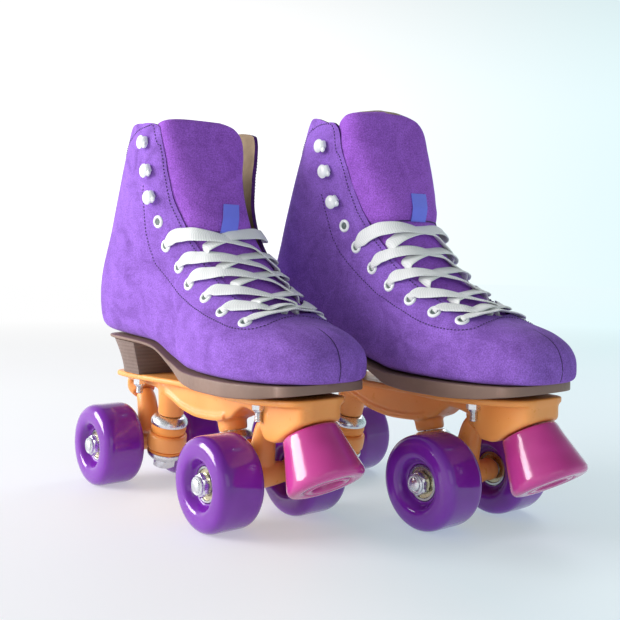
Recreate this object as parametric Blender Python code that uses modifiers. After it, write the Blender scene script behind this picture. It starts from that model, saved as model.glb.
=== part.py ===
"""Pair of quad roller skates: laced suede boots on plates with two steering trucks and four wheels each.

Lengths are millimetres here, and MM turns them into metres. In a skate's own frame the origin is on the
floor midway between the axles, the toes point to -Y and +X is the inner side of the foot. The left skate
is the right one mirrored, standing one step ahead of it.
"""

import math

import bmesh
import bpy
import numpy as np
from mathutils import Matrix, Vector

MM = 0.001
OBJECT_NAME = "quad_roller_skates"
GAP = 0.3

# The pair on the floor
SKATE_SPACING = 107.0
LEFT_STEP_AHEAD = 73.9
PAIR_SHIFT_Y = 21.317

# Wheels, bearings and axles
WHEEL_RADIUS = 29.0
WHEEL_WIDTH = 32.0
WHEEL_SIDES = 20
TRACK = 64.5
AXLE_Y = 73.2
BEARING_RADIUS = 11.0
BEARING_WIDTH = 7.0
BEARING_OUTER_FACE = 9.5
AXLE_RADIUS = 4.0
NUT_ACROSS_FLATS = 13.0
NUT_THICKNESS = 6.4
THREAD_PAST_NUT = 0.9

# Trucks, drawn for the rear one: the front truck is it turned half round
RING_CENTRE = Vector((0.0, 45.4, 32.5))
KINGPIN_TILT = math.radians(14.0)
PIVOT_CENTRE = Vector((0.0, 79.0, 63.0))
RING_RADIUS = 14.0
RING_HALF_HEIGHT = 6.0
RING_HOLE_RADIUS = 8.0
CUP_RADIUS = 13.3
CUP_NARROWING = 3.2
CUSHION_RADIUS = 12.4
KINGPIN_RADIUS = 4.8
UPPER_CUP_SPAN = (13.6, 19.6)
LOWER_CUP_SPAN = (-13.6, -8.4)
UPPER_CUSHION_SPAN = (6.3, 13.3)
LOWER_CUSHION_SPAN = (-8.1, -6.3)
KINGPIN_HEAD_SPAN = (-19.6, -13.9)
KINGPIN_HEAD_RADIUS = 8.6
KINGPIN_TOP = 33.0
AXLE_TUBE_RADIUS = 6.8
# Boss on the plate round the kingpin: span along the kingpin, radius at its lower and upper end
BOSS_SPAN = (19.9, 44.0)
BOSS_RADIUS = (9.3, 12.0)

# Plate
PLATE_TOP = 81.0
PLATE_TOE_RISE = 3.0
FLANGE_THICKNESS = 4.0
PLATE_REAR_Y = 86.0
PLATE_FRONT_Y = -133.0

# Toe stop
STOP_TOP_CENTRE = Vector((0.0, -120.0, 62.5))
STOP_TILT = math.radians(30.0)
STOP_LENGTH = 33.0
STOP_TOP_RADIUS = 17.2
STOP_FACE_RADIUS = 23.3
STOP_RECESS_RADIUS = 9.5
STOP_RECESS_DEPTH = 9.0
STOP_BOLT_HEAD_RADIUS = 7.5
STOP_BOLT_HEAD_HEIGHT = 5.0

# Boot
UPPER_WALL = 2.4
TONGUE_INSET = 3.0
TONGUE_THICKNESS = 4.0
TONGUE_TOP = {"right": 15.2, "left": 15.65}
LACE_RADIUS = 1.6
LACE_CLEARANCE = 1.4
HEEL_BREAST_Y = 46.0
HEEL_TOP_FRONT = 104.2
# Heel block at the plate and at the sole: its rear end, half width and where its round back starts
HEEL_REAR = (85.5, 98.5)
HEEL_HALF_WIDTH = (23.5, 28.2)
HEEL_TURN = (63.0, 66.0)
HEEL_SHIFT_X = 0.5
SOLE_CLEARANCE = 0.9

# One row per station from the toe tip to the top of the shaft: the point on the front or top line (y, z),
# the point on the bottom or back line (y, z), half width, height of the widest place as a share of the
# section, roundness exponent of the upper half and of the lower half, shift of the whole section towards
# the inner side, and further shift of its crown.
BOOT_STATIONS = (
    (-144.2, 107.0, -143.6, 98.0, 9.0, 0.45, 2.2, 2.4, 3.6, 0.0),
    (-142.2, 112.0, -142.0, 95.6, 18.0, 0.42, 2.2, 2.6, 3.6, 0.0),
    (-136.5, 118.0, -136.5, 94.0, 25.5, 0.40, 2.2, 3.0, 3.4, 0.0),
    (-125.0, 123.3, -125.0, 92.6, 32.0, 0.38, 2.3, 3.4, 2.4, 0.5),
    (-107.0, 128.0, -107.0, 91.8, 38.0, 0.37, 2.3, 3.8, 1.2, 1.5),
    (-87.0, 136.0, -84.0, 91.4, 41.0, 0.36, 2.3, 4.0, 0.2, 3.5),
    (-69.5, 146.5, -58.0, 91.4, 40.0, 0.37, 2.3, 3.8, 0.0, 5.0),
    (-54.5, 158.5, -36.0, 91.6, 37.5, 0.40, 2.4, 3.4, 0.3, 5.5),
    (-43.0, 171.5, -10.0, 96.6, 35.0, 0.44, 2.6, 3.0, 0.8, 4.5),
    (-34.5, 185.5, 25.0, 106.2, 34.0, 0.50, 2.9, 2.8, 1.3, 2.5),
    (-28.5, 200.0, 66.0, 109.6, 35.0, 0.54, 3.2, 2.6, 0.8, 1.0),
    (-23.5, 213.0, 102.0, 112.5, 37.0, 0.57, 3.5, 2.4, 0.2, 0.5),
    (-19.0, 225.0, 114.0, 134.0, 38.6, 0.60, 3.8, 2.3, 0.8, 0.0),
    (-15.5, 236.0, 102.0, 171.0, 39.2, 0.62, 4.1, 2.1, 2.2, 0.0),
    (-12.5, 246.0, 84.5, 210.0, 39.8, 0.62, 4.3, 2.1, 3.0, 0.0),
    (-10.5, 253.5, 68.0, 245.0, 39.0, 0.62, 4.5, 2.1, 3.2, 0.0),
)
THROAT_START = 4.3
# Half opening of the throat, as the angle round a section, by station
THROAT_ANGLE = ((4.3, 0.0), (4.6, 20.0), (6.0, 27.0), (8.5, 36.0), (10.6, 42.0), (12.8, 51.0), (15.0, 62.0))
# Laced eyelets from the top down: station, angle, and the station on the front line at the same height
LACED_EYELETS = (
    (9.85, 75.0, 8.35),
    (8.8, 72.0, 7.35),
    (7.9, 65.0, 6.5),
    (6.75, 53.0, 5.7),
    (5.72, 45.5, 5.0),
    (4.75, 38.0, 4.6),
)

# Sole band (y, half width, underside z); its top follows the boot's bottom line
SOLE_STATIONS = (
    (-141.8, 9.0, 88.4),
    (-139.8, 17.0, 87.9),
    (-134.5, 24.5, 87.0),
    (-124.0, 30.8, 85.4),
    (-107.0, 37.0, 83.2),
    (-84.0, 40.4, 82.2),
    (-58.0, 39.4, 82.2),
    (-36.0, 35.6, 83.0),
    (-10.0, 29.5, 90.6),
    (20.0, 27.0, 100.6),
    (44.0, 27.6, HEEL_TOP_FRONT),
    (66.0, 29.0, HEEL_TOP_FRONT + 0.7),
    (85.0, 26.5, HEEL_TOP_FRONT + 1.3),
    (96.0, 20.5, HEEL_TOP_FRONT + 1.65),
    (102.0, 11.0, HEEL_TOP_FRONT + 1.84),
)

PLATE_FLANGE = (
    (86.0, 17.0),
    (82.0, 21.5),
    (60.0, 23.0),
    (30.0, 20.5),
    (0.0, 18.0),
    (-35.0, 20.0),
    (-70.0, 26.0),
    (-98.0, 27.0),
    (-120.0, 21.5),
    (-130.0, 18.0),
    (-133.0, 15.0),
)
# Plate body under the flange: (y, half width, underside z)
PLATE_BODY = (
    (84.0, 12.0, 74.4),
    (79.0, 14.5, 73.5),
    (66.0, 13.5, 73.0),
    (52.0, 11.0, 71.5),
    (38.0, 10.5, 69.5),
    (22.0, 10.5, 65.0),
    (4.0, 11.0, 59.8),
    (-16.0, 11.5, 57.6),
    (-36.0, 11.5, 58.4),
    (-52.0, 11.0, 62.5),
    (-60.0, 11.0, 68.0),
    (-67.0, 11.5, 71.0),
    (-84.0, 14.0, 69.0),
    (-96.0, 15.5, 55.6),
    (-103.0, 16.0, 55.2),
    (-118.0, 16.5, 62.4),
    (-131.0, 16.5, 69.9),
    (-132.6, 16.0, 70.6),
)


def clear_scene():
    for obj in list(bpy.data.objects):
        bpy.data.objects.remove(obj, do_unlink=True)


def make_material(name, colour, roughness, metallic=0.0):
    material = bpy.data.materials.new(name)
    material.use_nodes = True
    shader = material.node_tree.nodes["Principled BSDF"]
    shader.inputs["Base Color"].default_value = (*colour, 1.0)
    shader.inputs["Roughness"].default_value = roughness
    shader.inputs["Metallic"].default_value = metallic
    return material


def smooth_through(knots, values, at):
    """Cubic through the knots that never swings past them (monotone slopes)."""
    knots, values, at = np.array(knots, float), np.array(values, float), np.array(at, float)
    step = np.diff(knots)
    rise = np.diff(values) / step
    slope = np.concatenate([[rise[0]], np.zeros(len(rise) - 1), [rise[-1]]])
    for i in range(1, len(rise)):
        if rise[i - 1] * rise[i] > 0:
            weights = (2 * step[i] + step[i - 1], step[i] + 2 * step[i - 1])
            slope[i] = sum(weights) / (weights[0] / rise[i - 1] + weights[1] / rise[i])
    i = np.clip(np.searchsorted(knots, at) - 1, 0, len(rise) - 1)
    t = (at - knots[i]) / step[i]
    low = values[i] * (1 + 2 * t) * (1 - t) ** 2 + slope[i] * step[i] * t * (1 - t) ** 2
    high = values[i + 1] * t**2 * (3 - 2 * t) + slope[i + 1] * step[i] * t**2 * (t - 1)
    return low + high


# --- meshes ---------------------------------------------------------------------------------------


def finish_mesh(name, builder, smooth_angle=None):
    """A mesh in metres from a bmesh drawn in millimetres, with its faces pointing out."""
    bmesh.ops.transform(builder, matrix=Matrix.Scale(MM, 4), verts=builder.verts)
    bmesh.ops.recalc_face_normals(builder, faces=builder.faces)
    mesh = bpy.data.meshes.new(name)
    builder.to_mesh(mesh)
    builder.free()
    if smooth_angle is not None:
        mesh.shade_smooth()
        mesh.set_sharp_from_angle(angle=math.radians(smooth_angle))
    return mesh


def cylinder_mesh(radius, low, high, matrix=Matrix.Identity(4), sides=16, top_radius=None):
    """A closed cylinder or cone along Z from low to high, moved by matrix."""
    builder = bmesh.new()
    turn = Matrix.Rotation(math.pi / sides, 4, "Z")
    bmesh.ops.create_cone(
        builder,
        cap_ends=True,
        segments=sides,
        radius1=radius,
        radius2=radius if top_radius is None else top_radius,
        depth=high - low,
        matrix=matrix @ Matrix.Translation((0, 0, (low + high) / 2)) @ turn,
    )
    return finish_mesh("cylinder", builder)


def loft_mesh(name, rings, smooth_angle=40.0):
    """A closed skin through rings of equally many points, capped at both ends."""
    builder = bmesh.new()
    rows = [[builder.verts.new(point) for point in ring] for ring in rings]
    for row, following in zip(rows, rows[1:]):
        for i in range(len(row)):
            j = (i + 1) % len(row)
            builder.faces.new((row[i], row[j], following[j], following[i]))
    builder.faces.new(rows[0])
    builder.faces.new(rows[-1])
    return finish_mesh(name, builder, smooth_angle=smooth_angle)


def bar_section(y, half_width, low, high, chamfer):
    """An upright rectangle with cut corners, across the skate at y."""
    w, c = half_width, chamfer
    corners = ((w, low + c), (w, high - c), (w - c, high), (-w + c, high))
    corners += ((-w, high - c), (-w, low + c), (-w + c, low), (w - c, low))
    return [(x, y, z) for x, z in corners]


def evaluated_mesh(obj):
    bpy.context.view_layer.update()
    graph = bpy.context.evaluated_depsgraph_get()
    return bpy.data.meshes.new_from_object(obj.evaluated_get(graph))


def combined_mesh(name, solids, holes=()):
    """The union of the solids less the holes, as one mesh."""
    base = bpy.data.objects.new(name, solids[0])
    CUTTERS.objects.link(base)
    tools = []
    for mesh, operation in [(m, "UNION") for m in solids[1:]] + [(m, "DIFFERENCE") for m in holes]:
        tool = bpy.data.objects.new(f"{name}_tool", mesh)
        tool.hide_render = True
        tool.display_type = "WIRE"
        CUTTERS.objects.link(tool)
        modifier = base.modifiers.new(operation.lower(), "BOOLEAN")
        modifier.operation = operation
        modifier.object = tool
        tools.append(tool)
    mesh = evaluated_mesh(base)
    for obj in (base, *tools):
        bpy.data.objects.remove(obj, do_unlink=True)
    mesh.shade_smooth()
    mesh.set_sharp_from_angle(angle=math.radians(40.0))
    return mesh


def turned_mesh(name, profile, matrix, sides):
    """A closed profile of (radius, height) points turned about Z, then moved by matrix."""
    builder = bmesh.new()
    points = [builder.verts.new((r * MM, 0, h * MM)) for r, h in profile]
    for pair in zip(points, points[1:] + points[:1]):
        builder.edges.new(pair)
    outline = bpy.data.meshes.new(name)
    builder.to_mesh(outline)
    builder.free()
    obj = bpy.data.objects.new(name, outline)
    screw = obj.modifiers.new("turn", "SCREW")
    screw.steps = screw.render_steps = sides
    screw.use_merge_vertices = True
    screw.merge_threshold = 0.00001
    CUTTERS.objects.link(obj)
    mesh = evaluated_mesh(obj)
    bpy.data.objects.remove(obj, do_unlink=True)
    shift = Matrix.Translation(matrix.translation * MM) @ matrix.to_3x3().to_4x4()
    mesh.transform(shift)
    mesh.shade_smooth()
    mesh.set_sharp_from_angle(angle=math.radians(40.0))
    return mesh


def add_node(name, mesh, slot, parent, location=(0, 0, 0), rotation_z=0.0):
    """One sub-part as an object: location in millimetres, in its parent's frame."""
    if not mesh.materials:
        mesh.materials.append(MATERIALS[slot])
    obj = bpy.data.objects.new(name, mesh)
    obj.parent = parent
    obj.location = Vector(location) * MM
    obj.rotation_euler = (0, 0, rotation_z)
    PARTS.objects.link(obj)
    return obj


def add_frame(name, parent, location, rotation_z=0.0):
    frame = bpy.data.objects.new(name, None)
    frame.empty_display_size = 0.02
    frame.parent = parent
    frame.location = Vector(location) * MM
    frame.rotation_euler = (0, 0, rotation_z)
    PARTS.objects.link(frame)
    return frame


# --- wheels, bearings and axles -------------------------------------------------------------------


def along_x(x=0.0, y=0.0, z=0.0):
    """Turns a shape drawn along Z so that it lies along X at a place."""
    return Matrix.Translation((x, y, z)) @ Matrix.Rotation(math.pi / 2, 4, "Y")


def wheel_mesh():
    half = WHEEL_WIDTH / 2
    bore = BEARING_RADIUS + GAP
    # The tyre's flats touch the floor, so its corners stand a little outside the radius.
    tyre = WHEEL_RADIUS / math.cos(math.pi / WHEEL_SIDES)
    outer = [(tyre - 8.5, half), (tyre - 3.0, half - 1.8), (tyre, half - 6.5)]
    profile = [(16.3, half - 0.6)] + outer + [(r, -h) for r, h in reversed(outer)]
    profile += [(16.3, 0.6 - half), (bore, -BEARING_OUTER_FACE), (bore, BEARING_OUTER_FACE)]
    turn = Matrix.Rotation(math.pi / WHEEL_SIDES, 4, "X")
    return turned_mesh("wheel", profile, turn @ along_x(), WHEEL_SIDES)


def bearing_mesh():
    """Two ball bearings and the spacer between them."""
    inner = AXLE_RADIUS + GAP
    step = BEARING_OUTER_FACE - BEARING_WIDTH
    side = [(BEARING_RADIUS, BEARING_OUTER_FACE), (BEARING_RADIUS, step), (6.0, step)]
    profile = side + [(r, -h) for r, h in reversed(side)]
    profile += [(inner, -BEARING_OUTER_FACE), (inner, BEARING_OUTER_FACE)]
    return turned_mesh("bearing_set", profile, along_x(), 12)


def axle_mesh():
    wheel_x = TRACK / 2
    nut_start = wheel_x + BEARING_OUTER_FACE + GAP
    nut_end = nut_start + NUT_THICKNESS
    tip = nut_end + THREAD_PAST_NUT
    nut_radius = NUT_ACROSS_FLATS / 2 / math.cos(math.pi / 6)
    solids = [cylinder_mesh(AXLE_RADIUS, -tip, tip, along_x(), sides=12)]
    for side in (-1, 1):
        low, high = sorted((side * nut_start, side * nut_end))
        solids.append(cylinder_mesh(nut_radius, low, high, along_x(), sides=6))
    return combined_mesh("axle", solids)


# --- trucks ---------------------------------------------------------------------------------------


def kingpin_frame():
    """Z along the kingpin, up, with its zero at the middle of the hanger's ring."""
    return Matrix.Translation(RING_CENTRE) @ Matrix.Rotation(KINGPIN_TILT, 4, "X")


def ring_profile(outer, inner, span, bulge=0.0):
    """A closed ring profile; bulge rounds its outer side."""
    low, high = span
    middle = (low + high) / 2
    profile = [(outer, high), (outer, low), (inner, low), (inner, high)]
    if bulge:
        profile[1:1] = [(outer + bulge, middle)]
    return profile


def arm_section(centre, radius_x, radius_y, direction):
    """An eight-sided oval round a point, square to a direction in the YZ plane."""
    along = Vector(direction).normalized()
    across = Vector((1, 0, 0))
    up = across.cross(along)
    angles = [math.radians(22.5 + 45 * i) for i in range(8)]
    points = (across * radius_x * math.cos(a) + up * radius_y * math.sin(a) for a in angles)
    return [Vector(centre) + point for point in points]


def hanger_mesh():
    """Ring round the kingpin, axle tube, web between them and arm up to the plate's pivot."""
    frame = kingpin_frame()
    tube_half = TRACK / 2 - BEARING_OUTER_FACE - GAP
    axle = Vector((0, AXLE_Y, WHEEL_RADIUS))
    ring_span = (-RING_HALF_HEIGHT, RING_HALF_HEIGHT)
    ring = cylinder_mesh(RING_RADIUS, *ring_span, frame, sides=20)
    tube = cylinder_mesh(AXLE_TUBE_RADIUS, -tube_half, tube_half, along_x(*axle), sides=14)
    arm = [
        arm_section(axle + Vector((0, 0.0, -4.0)), 11.0, 5.0, (0, 0.0, 1)),
        arm_section(axle + Vector((0, -3.2, 7.0)), 10.0, 9.2, (0, 0.0, 1)),
        arm_section(axle + Vector((0, 0.5, 19.0)), 8.0, 7.6, (0, 0.25, 1)),
        arm_section(PIVOT_CENTRE + Vector((0, -2.6, -5.0)), 7.2, 6.8, (0, 0.5, 0.9)),
        arm_section(PIVOT_CENTRE + Vector((0, 0.4, -0.4)), 6.6, 6.2, (0, 0.75, 0.66)),
    ]
    web = [
        arm_section(RING_CENTRE + Vector((0, 9.6, 3.4)), 11.0, 5.0, (0, 1, 0)),
        arm_section(axle + Vector((0, 0.0, 2.4)), 12.0, 5.6, (0, 1, 0)),
    ]
    solids = [ring, tube, loft_mesh("arm", arm), loft_mesh("web", web)]
    holes = [
        cylinder_mesh(RING_HOLE_RADIUS, -20, 20, frame, sides=16),
        cylinder_mesh(AXLE_RADIUS + GAP, -60, 60, along_x(*axle), sides=12),
    ]
    mesh = combined_mesh("hanger", solids, holes)
    mesh.transform(Matrix.Translation(-RING_CENTRE * MM))
    return mesh


def kingpin_mesh():
    head = KINGPIN_HEAD_SPAN
    frame = kingpin_frame()
    shaft = cylinder_mesh(KINGPIN_RADIUS, head[0] + 1.0, KINGPIN_TOP, frame, sides=12)
    hexagon = cylinder_mesh(KINGPIN_HEAD_RADIUS, *head, frame, sides=6)
    return combined_mesh("kingpin", [shaft, hexagon])


def cup_mesh(name, span, wide_end):
    """A dished washer: the wide end holds the cushion."""
    low, high = span
    inner = KINGPIN_RADIUS + GAP
    narrow = CUP_RADIUS - CUP_NARROWING
    if wide_end == "low":
        profile = [(narrow, high), (CUP_RADIUS, high - 3.0), (CUP_RADIUS, low), (inner, low), (inner, high)]
    else:
        profile = [(CUP_RADIUS, high), (CUP_RADIUS, low + 2.4), (narrow, low), (inner, low), (inner, high)]
    return turned_mesh(name, profile, kingpin_frame(), 16)


def cushion_mesh(name, span):
    inner = KINGPIN_RADIUS + GAP + 0.2
    return turned_mesh(name, ring_profile(CUSHION_RADIUS, inner, span, 0.4), kingpin_frame(), 16)


# --- plate and toe stop ---------------------------------------------------------------------------


def plate_top(y):
    toe = max(0.0, (-60.0 - y) / 80.0)
    return PLATE_TOP + PLATE_TOE_RISE * toe**1.5


def stop_frame():
    """Z along the toe stop, out of its floor face, with its zero at the top."""
    return Matrix.Translation(STOP_TOP_CENTRE) @ Matrix.Rotation(math.pi - STOP_TILT, 4, "X")


def plate_mesh():
    knots = [row[0] for row in reversed(PLATE_FLANGE)]
    widths = [row[1] for row in reversed(PLATE_FLANGE)]
    stations = np.concatenate([[PLATE_FRONT_Y, -131.5], np.linspace(-128, 82, 13), [PLATE_REAR_Y]])
    flange = []
    for y in stations:
        half = float(smooth_through(knots, widths, y))
        flange.append(bar_section(y, half, plate_top(y) - FLANGE_THICKNESS, plate_top(y), 0.8))
    body = [bar_section(y, w, low, plate_top(y) - 2.0, 2.0) for y, w, low in PLATE_BODY]
    solids = [loft_mesh("flange", flange), loft_mesh("plate_body", body)]
    holes = []
    for turn in (Matrix.Identity(4), Matrix.Rotation(math.pi, 4, "Z")):
        frame = turn @ kingpin_frame()
        solids.append(cylinder_mesh(BOSS_RADIUS[0], *BOSS_SPAN, frame, sides=16, top_radius=BOSS_RADIUS[1]))
        socket = [
            arm_section(PIVOT_CENTRE + Vector((0, 0.9, 0.8)), 8.4, 7.6, (0, 0.75, 0.66)),
            arm_section(PIVOT_CENTRE + Vector((0, 5.0, 5.6)), 11.0, 9.5, (0, 0.7, 0.7)),
            arm_section(PIVOT_CENTRE + Vector((0, 1.0, 15.0)), 12.0, 12.0, (0, -0.1, 1)),
        ]
        solids.append(loft_mesh("socket", [[turn @ p for p in ring] for ring in socket]))
        holes.append(cylinder_mesh(KINGPIN_RADIUS + GAP, 0.0, KINGPIN_TOP + 1.0, frame, sides=12))
    return combined_mesh("plate", solids, holes)


def toe_stop_mesh():
    face, top = STOP_LENGTH, 0.0
    recess = STOP_RECESS_RADIUS
    inner = AXLE_RADIUS + GAP
    profile = [(STOP_FACE_RADIUS - 4.5, face), (STOP_FACE_RADIUS - 1.2, face - 1.4)]
    profile += [(STOP_FACE_RADIUS, face - 5.0), (STOP_TOP_RADIUS, top + 1.5), (STOP_TOP_RADIUS - 1.5, top)]
    profile += [(inner, top), (inner, face - STOP_RECESS_DEPTH)]
    profile += [(recess, face - STOP_RECESS_DEPTH), (recess, face)]
    return turned_mesh("toe_stop", profile, stop_frame(), 24)


def toe_stop_bolt_mesh():
    seat = STOP_LENGTH - STOP_RECESS_DEPTH + GAP
    shaft = cylinder_mesh(AXLE_RADIUS, GAP, seat + 1.0, stop_frame(), sides=12)
    head = cylinder_mesh(STOP_BOLT_HEAD_RADIUS, seat, seat + STOP_BOLT_HEAD_HEIGHT, stop_frame(), sides=6)
    return combined_mesh("toe_stop_bolt", [shaft, head])


# --- boot -----------------------------------------------------------------------------------------


def boot_station(at):
    """The section's numbers at a place along the boot, counted in stations."""
    knots = np.arange(len(BOOT_STATIONS))
    inside = min(at, len(BOOT_STATIONS) - 1)
    row = [float(smooth_through(knots, column, inside)) for column in zip(*BOOT_STATIONS)]
    if at > inside:
        before = np.array(BOOT_STATIONS[-2][:4])
        row[:4] = np.array(row[:4]) + (np.array(BOOT_STATIONS[-1][:4]) - before) * (at - inside)
    return row


def boot_point(at, angle, inset=0.0):
    """A point of the boot's skin: the angle is from the front line, positive to the inner side."""
    front_y, front_z, back_y, back_z, half_width, widest, round_up, round_down, shift, crown = boot_station(at)
    front, back = Vector((0, front_y, front_z)), Vector((0, back_y, back_z))
    length = (front - back).length
    axis = (front - back) / length
    middle = back + axis * length * widest
    reach, power = (length * (1 - widest), round_up) if math.cos(angle) > 0 else (length * widest, round_down)
    reach, half_width = reach - inset, half_width - inset
    side = math.copysign(abs(math.sin(angle)) ** (2 / power), math.sin(angle)) * half_width
    along = math.copysign(abs(math.cos(angle)) ** (2 / power), math.cos(angle)) * reach
    lean = shift + crown * max(0.0, math.cos(angle))
    return middle + axis * along + Vector((side + lean, 0, 0))


def throat_half_angle(at):
    if at <= THROAT_START:
        return 0.0
    knots, angles = zip(*THROAT_ANGLE)
    return math.radians(float(smooth_through(knots, angles, at)))


def solidified(name, builder, thickness, mirror):
    """The open skin thickened inwards, as a mesh."""
    bmesh.ops.transform(builder, matrix=Matrix.Scale(MM, 4), verts=builder.verts)
    bmesh.ops.remove_doubles(builder, verts=builder.verts, dist=0.00001)
    bmesh.ops.recalc_face_normals(builder, faces=builder.faces)
    mesh = bpy.data.meshes.new(name)
    builder.to_mesh(mesh)
    builder.free()
    obj = bpy.data.objects.new(name, mesh)
    CUTTERS.objects.link(obj)
    shell = obj.modifiers.new("wall", "SOLIDIFY")
    shell.thickness = thickness * MM
    shell.offset = -1.0
    mesh = evaluated_mesh(obj)
    bpy.data.objects.remove(obj, do_unlink=True)
    return mirrored(mesh, mirror)


def mirrored(mesh, mirror):
    if mirror:
        mesh.transform(Matrix.Scale(-1, 4, (1, 0, 0)))
        mesh.flip_normals()
    mesh.shade_smooth()
    mesh.set_sharp_from_angle(angle=math.radians(50.0))
    return mesh


def grid_faces(builder, rows):
    for row, following in zip(rows, rows[1:]):
        for i in range(len(row) - 1):
            quad = []
            for vertex in (row[i], row[i + 1], following[i + 1], following[i]):
                if vertex not in quad:
                    quad.append(vertex)
            if len(quad) > 2:
                builder.faces.new(quad)


def upper_mesh(mirror):
    """The boot's sewn shell, open at the throat and the top."""
    around = 24
    last = len(BOOT_STATIONS) - 1
    stations = [0, 1, 2, 3, THROAT_START, 4.6, 5.4, 6.2, 7, 7.8, 8.6, 9.4, 10.2, 11, 11.6, 12.3, 13, 14, last]
    builder = bmesh.new()
    rows = []
    for at in stations:
        start = throat_half_angle(at)
        angles = [start + (2 * math.pi - 2 * start) * k / around for k in range(around + 1)]
        row = [builder.verts.new(boot_point(at, a)) for a in angles[:-1]]
        row.append(row[0] if start == 0 else builder.verts.new(boot_point(at, angles[-1])))
        rows.append(row)
    grid_faces(builder, rows)
    builder.faces.new(rows[0][:-1])
    return solidified("upper", builder, UPPER_WALL, mirror)


def tongue_mesh(mirror, top):
    builder = bmesh.new()
    rows = []
    for at in np.linspace(4.9, top, 12):
        half = throat_half_angle(min(at, 15.0)) + math.radians(7.0)
        angles = np.linspace(-half, half, 7)
        rows.append([builder.verts.new(boot_point(at, a, TONGUE_INSET)) for a in angles])
    grid_faces(builder, rows)
    return solidified("tongue", builder, TONGUE_THICKNESS, mirror)


def sole_line(y):
    """Height of the boot's bottom line."""
    rows = BOOT_STATIONS[:11]
    return float(smooth_through([row[2] for row in rows], [row[3] for row in rows], y))


def sole_mesh(mirror):
    shifts = [row[8] for row in BOOT_STATIONS[:11]]
    shift_knots = [row[2] for row in BOOT_STATIONS[:11]]
    rings = []
    for y, half, low in SOLE_STATIONS:
        top = min(sole_line(max(y, -143.5)), sole_line(66.0)) - GAP - SOLE_CLEARANCE
        shift = float(smooth_through(shift_knots, shifts, min(max(y, -143.5), 66.0)))
        rings.append([(x + shift, yy, z) for x, yy, z in bar_section(y, half, low, top, 0.8)])
    return mirrored(loft_mesh("sole", rings), mirror)


def heel_mesh():
    """A stacked block: flat breast in front, round behind, its top under the sole's slope."""
    knots, _, undersides = zip(*SOLE_STATIONS)
    rings = []
    for share in (0.0, 0.5, 1.0):
        spans = (HEEL_REAR, HEEL_HALF_WIDTH, HEEL_TURN)
        rear, half, turn_y = (low + (high - low) * share for low, high in spans)
        outline = [(-half, HEEL_BREAST_Y), (-half, turn_y)]
        for i in range(1, 8):
            angle = math.pi * i / 8
            outline.append((-half * math.cos(angle), turn_y + (rear - turn_y) * math.sin(angle)))
        outline += [(half, turn_y), (half, HEEL_BREAST_Y)]
        ring = []
        for x, y in outline:
            top = float(np.interp(y, knots, undersides)) - GAP
            low = PLATE_TOP + GAP
            ring.append((x + HEEL_SHIFT_X, y, low + (top - low) * share))
        rings.append(ring)
    return loft_mesh("heel", rings, smooth_angle=30.0)


def lace_mesh(mirror):
    """One lace criss-crossing the throat over the laced eyelets, with a straight bar at the toe end."""
    rows = len(LACED_EYELETS)
    down = [(at, angle * (-1) ** i, front) for i, (at, angle, front) in enumerate(LACED_EYELETS)]
    stops = down + [(at, -angle, front) for at, angle, front in reversed(down)]
    points = []
    lift = LACE_RADIUS + LACE_CLEARANCE
    for index, (here, there) in enumerate(zip(stops, stops[1:])):
        over = 0.0 if index < rows else 2 * LACE_RADIUS + GAP
        front = (here[2] + there[2]) / 2
        for share in np.linspace(0, 1, 8, endpoint=False):
            angle = here[1] + (there[1] - here[1]) * (1 - math.cos(math.pi * share)) / 2
            end = here if share < 0.5 else there
            at = front + (end[0] - front) * abs(angle / end[1]) ** 1.6
            height = lift + over * math.sin(math.pi * share) ** 2
            points.append(boot_point(at, math.radians(angle), -height))
    points.append(boot_point(stops[-1][0], math.radians(stops[-1][1]), -lift))
    curve = bpy.data.curves.new("laces", "CURVE")
    curve.dimensions = "3D"
    spline = curve.splines.new("POLY")
    spline.points.add(len(points) - 1)
    for place, point in zip(spline.points, points):
        place.co = (*(point * MM), 1.0)
    curve.bevel_depth = LACE_RADIUS * MM
    curve.bevel_resolution = 1
    curve.use_fill_caps = True
    obj = bpy.data.objects.new("laces", curve)
    CUTTERS.objects.link(obj)
    mesh = evaluated_mesh(obj)
    bpy.data.objects.remove(obj, do_unlink=True)
    builder = bmesh.new()
    builder.from_mesh(mesh)
    bmesh.ops.remove_doubles(builder, verts=builder.verts, dist=0.000001)
    builder.to_mesh(mesh)
    builder.free()
    return mirrored(mesh, mirror)


# --- assembly -------------------------------------------------------------------------------------


def add_boot(side, skate, mirror):
    add_node(f"{side}_upper", upper_mesh(mirror), "suede", skate)
    add_node(f"{side}_tongue", tongue_mesh(mirror, TONGUE_TOP[side]), "tongue_suede", skate)
    add_node(f"{side}_laces", lace_mesh(mirror), "lace", skate)
    add_node(f"{side}_sole", sole_mesh(mirror), "sole", skate)
    add_node(f"{side}_heel", mirrored(heel_mesh(), mirror), "heel", skate)


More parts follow.
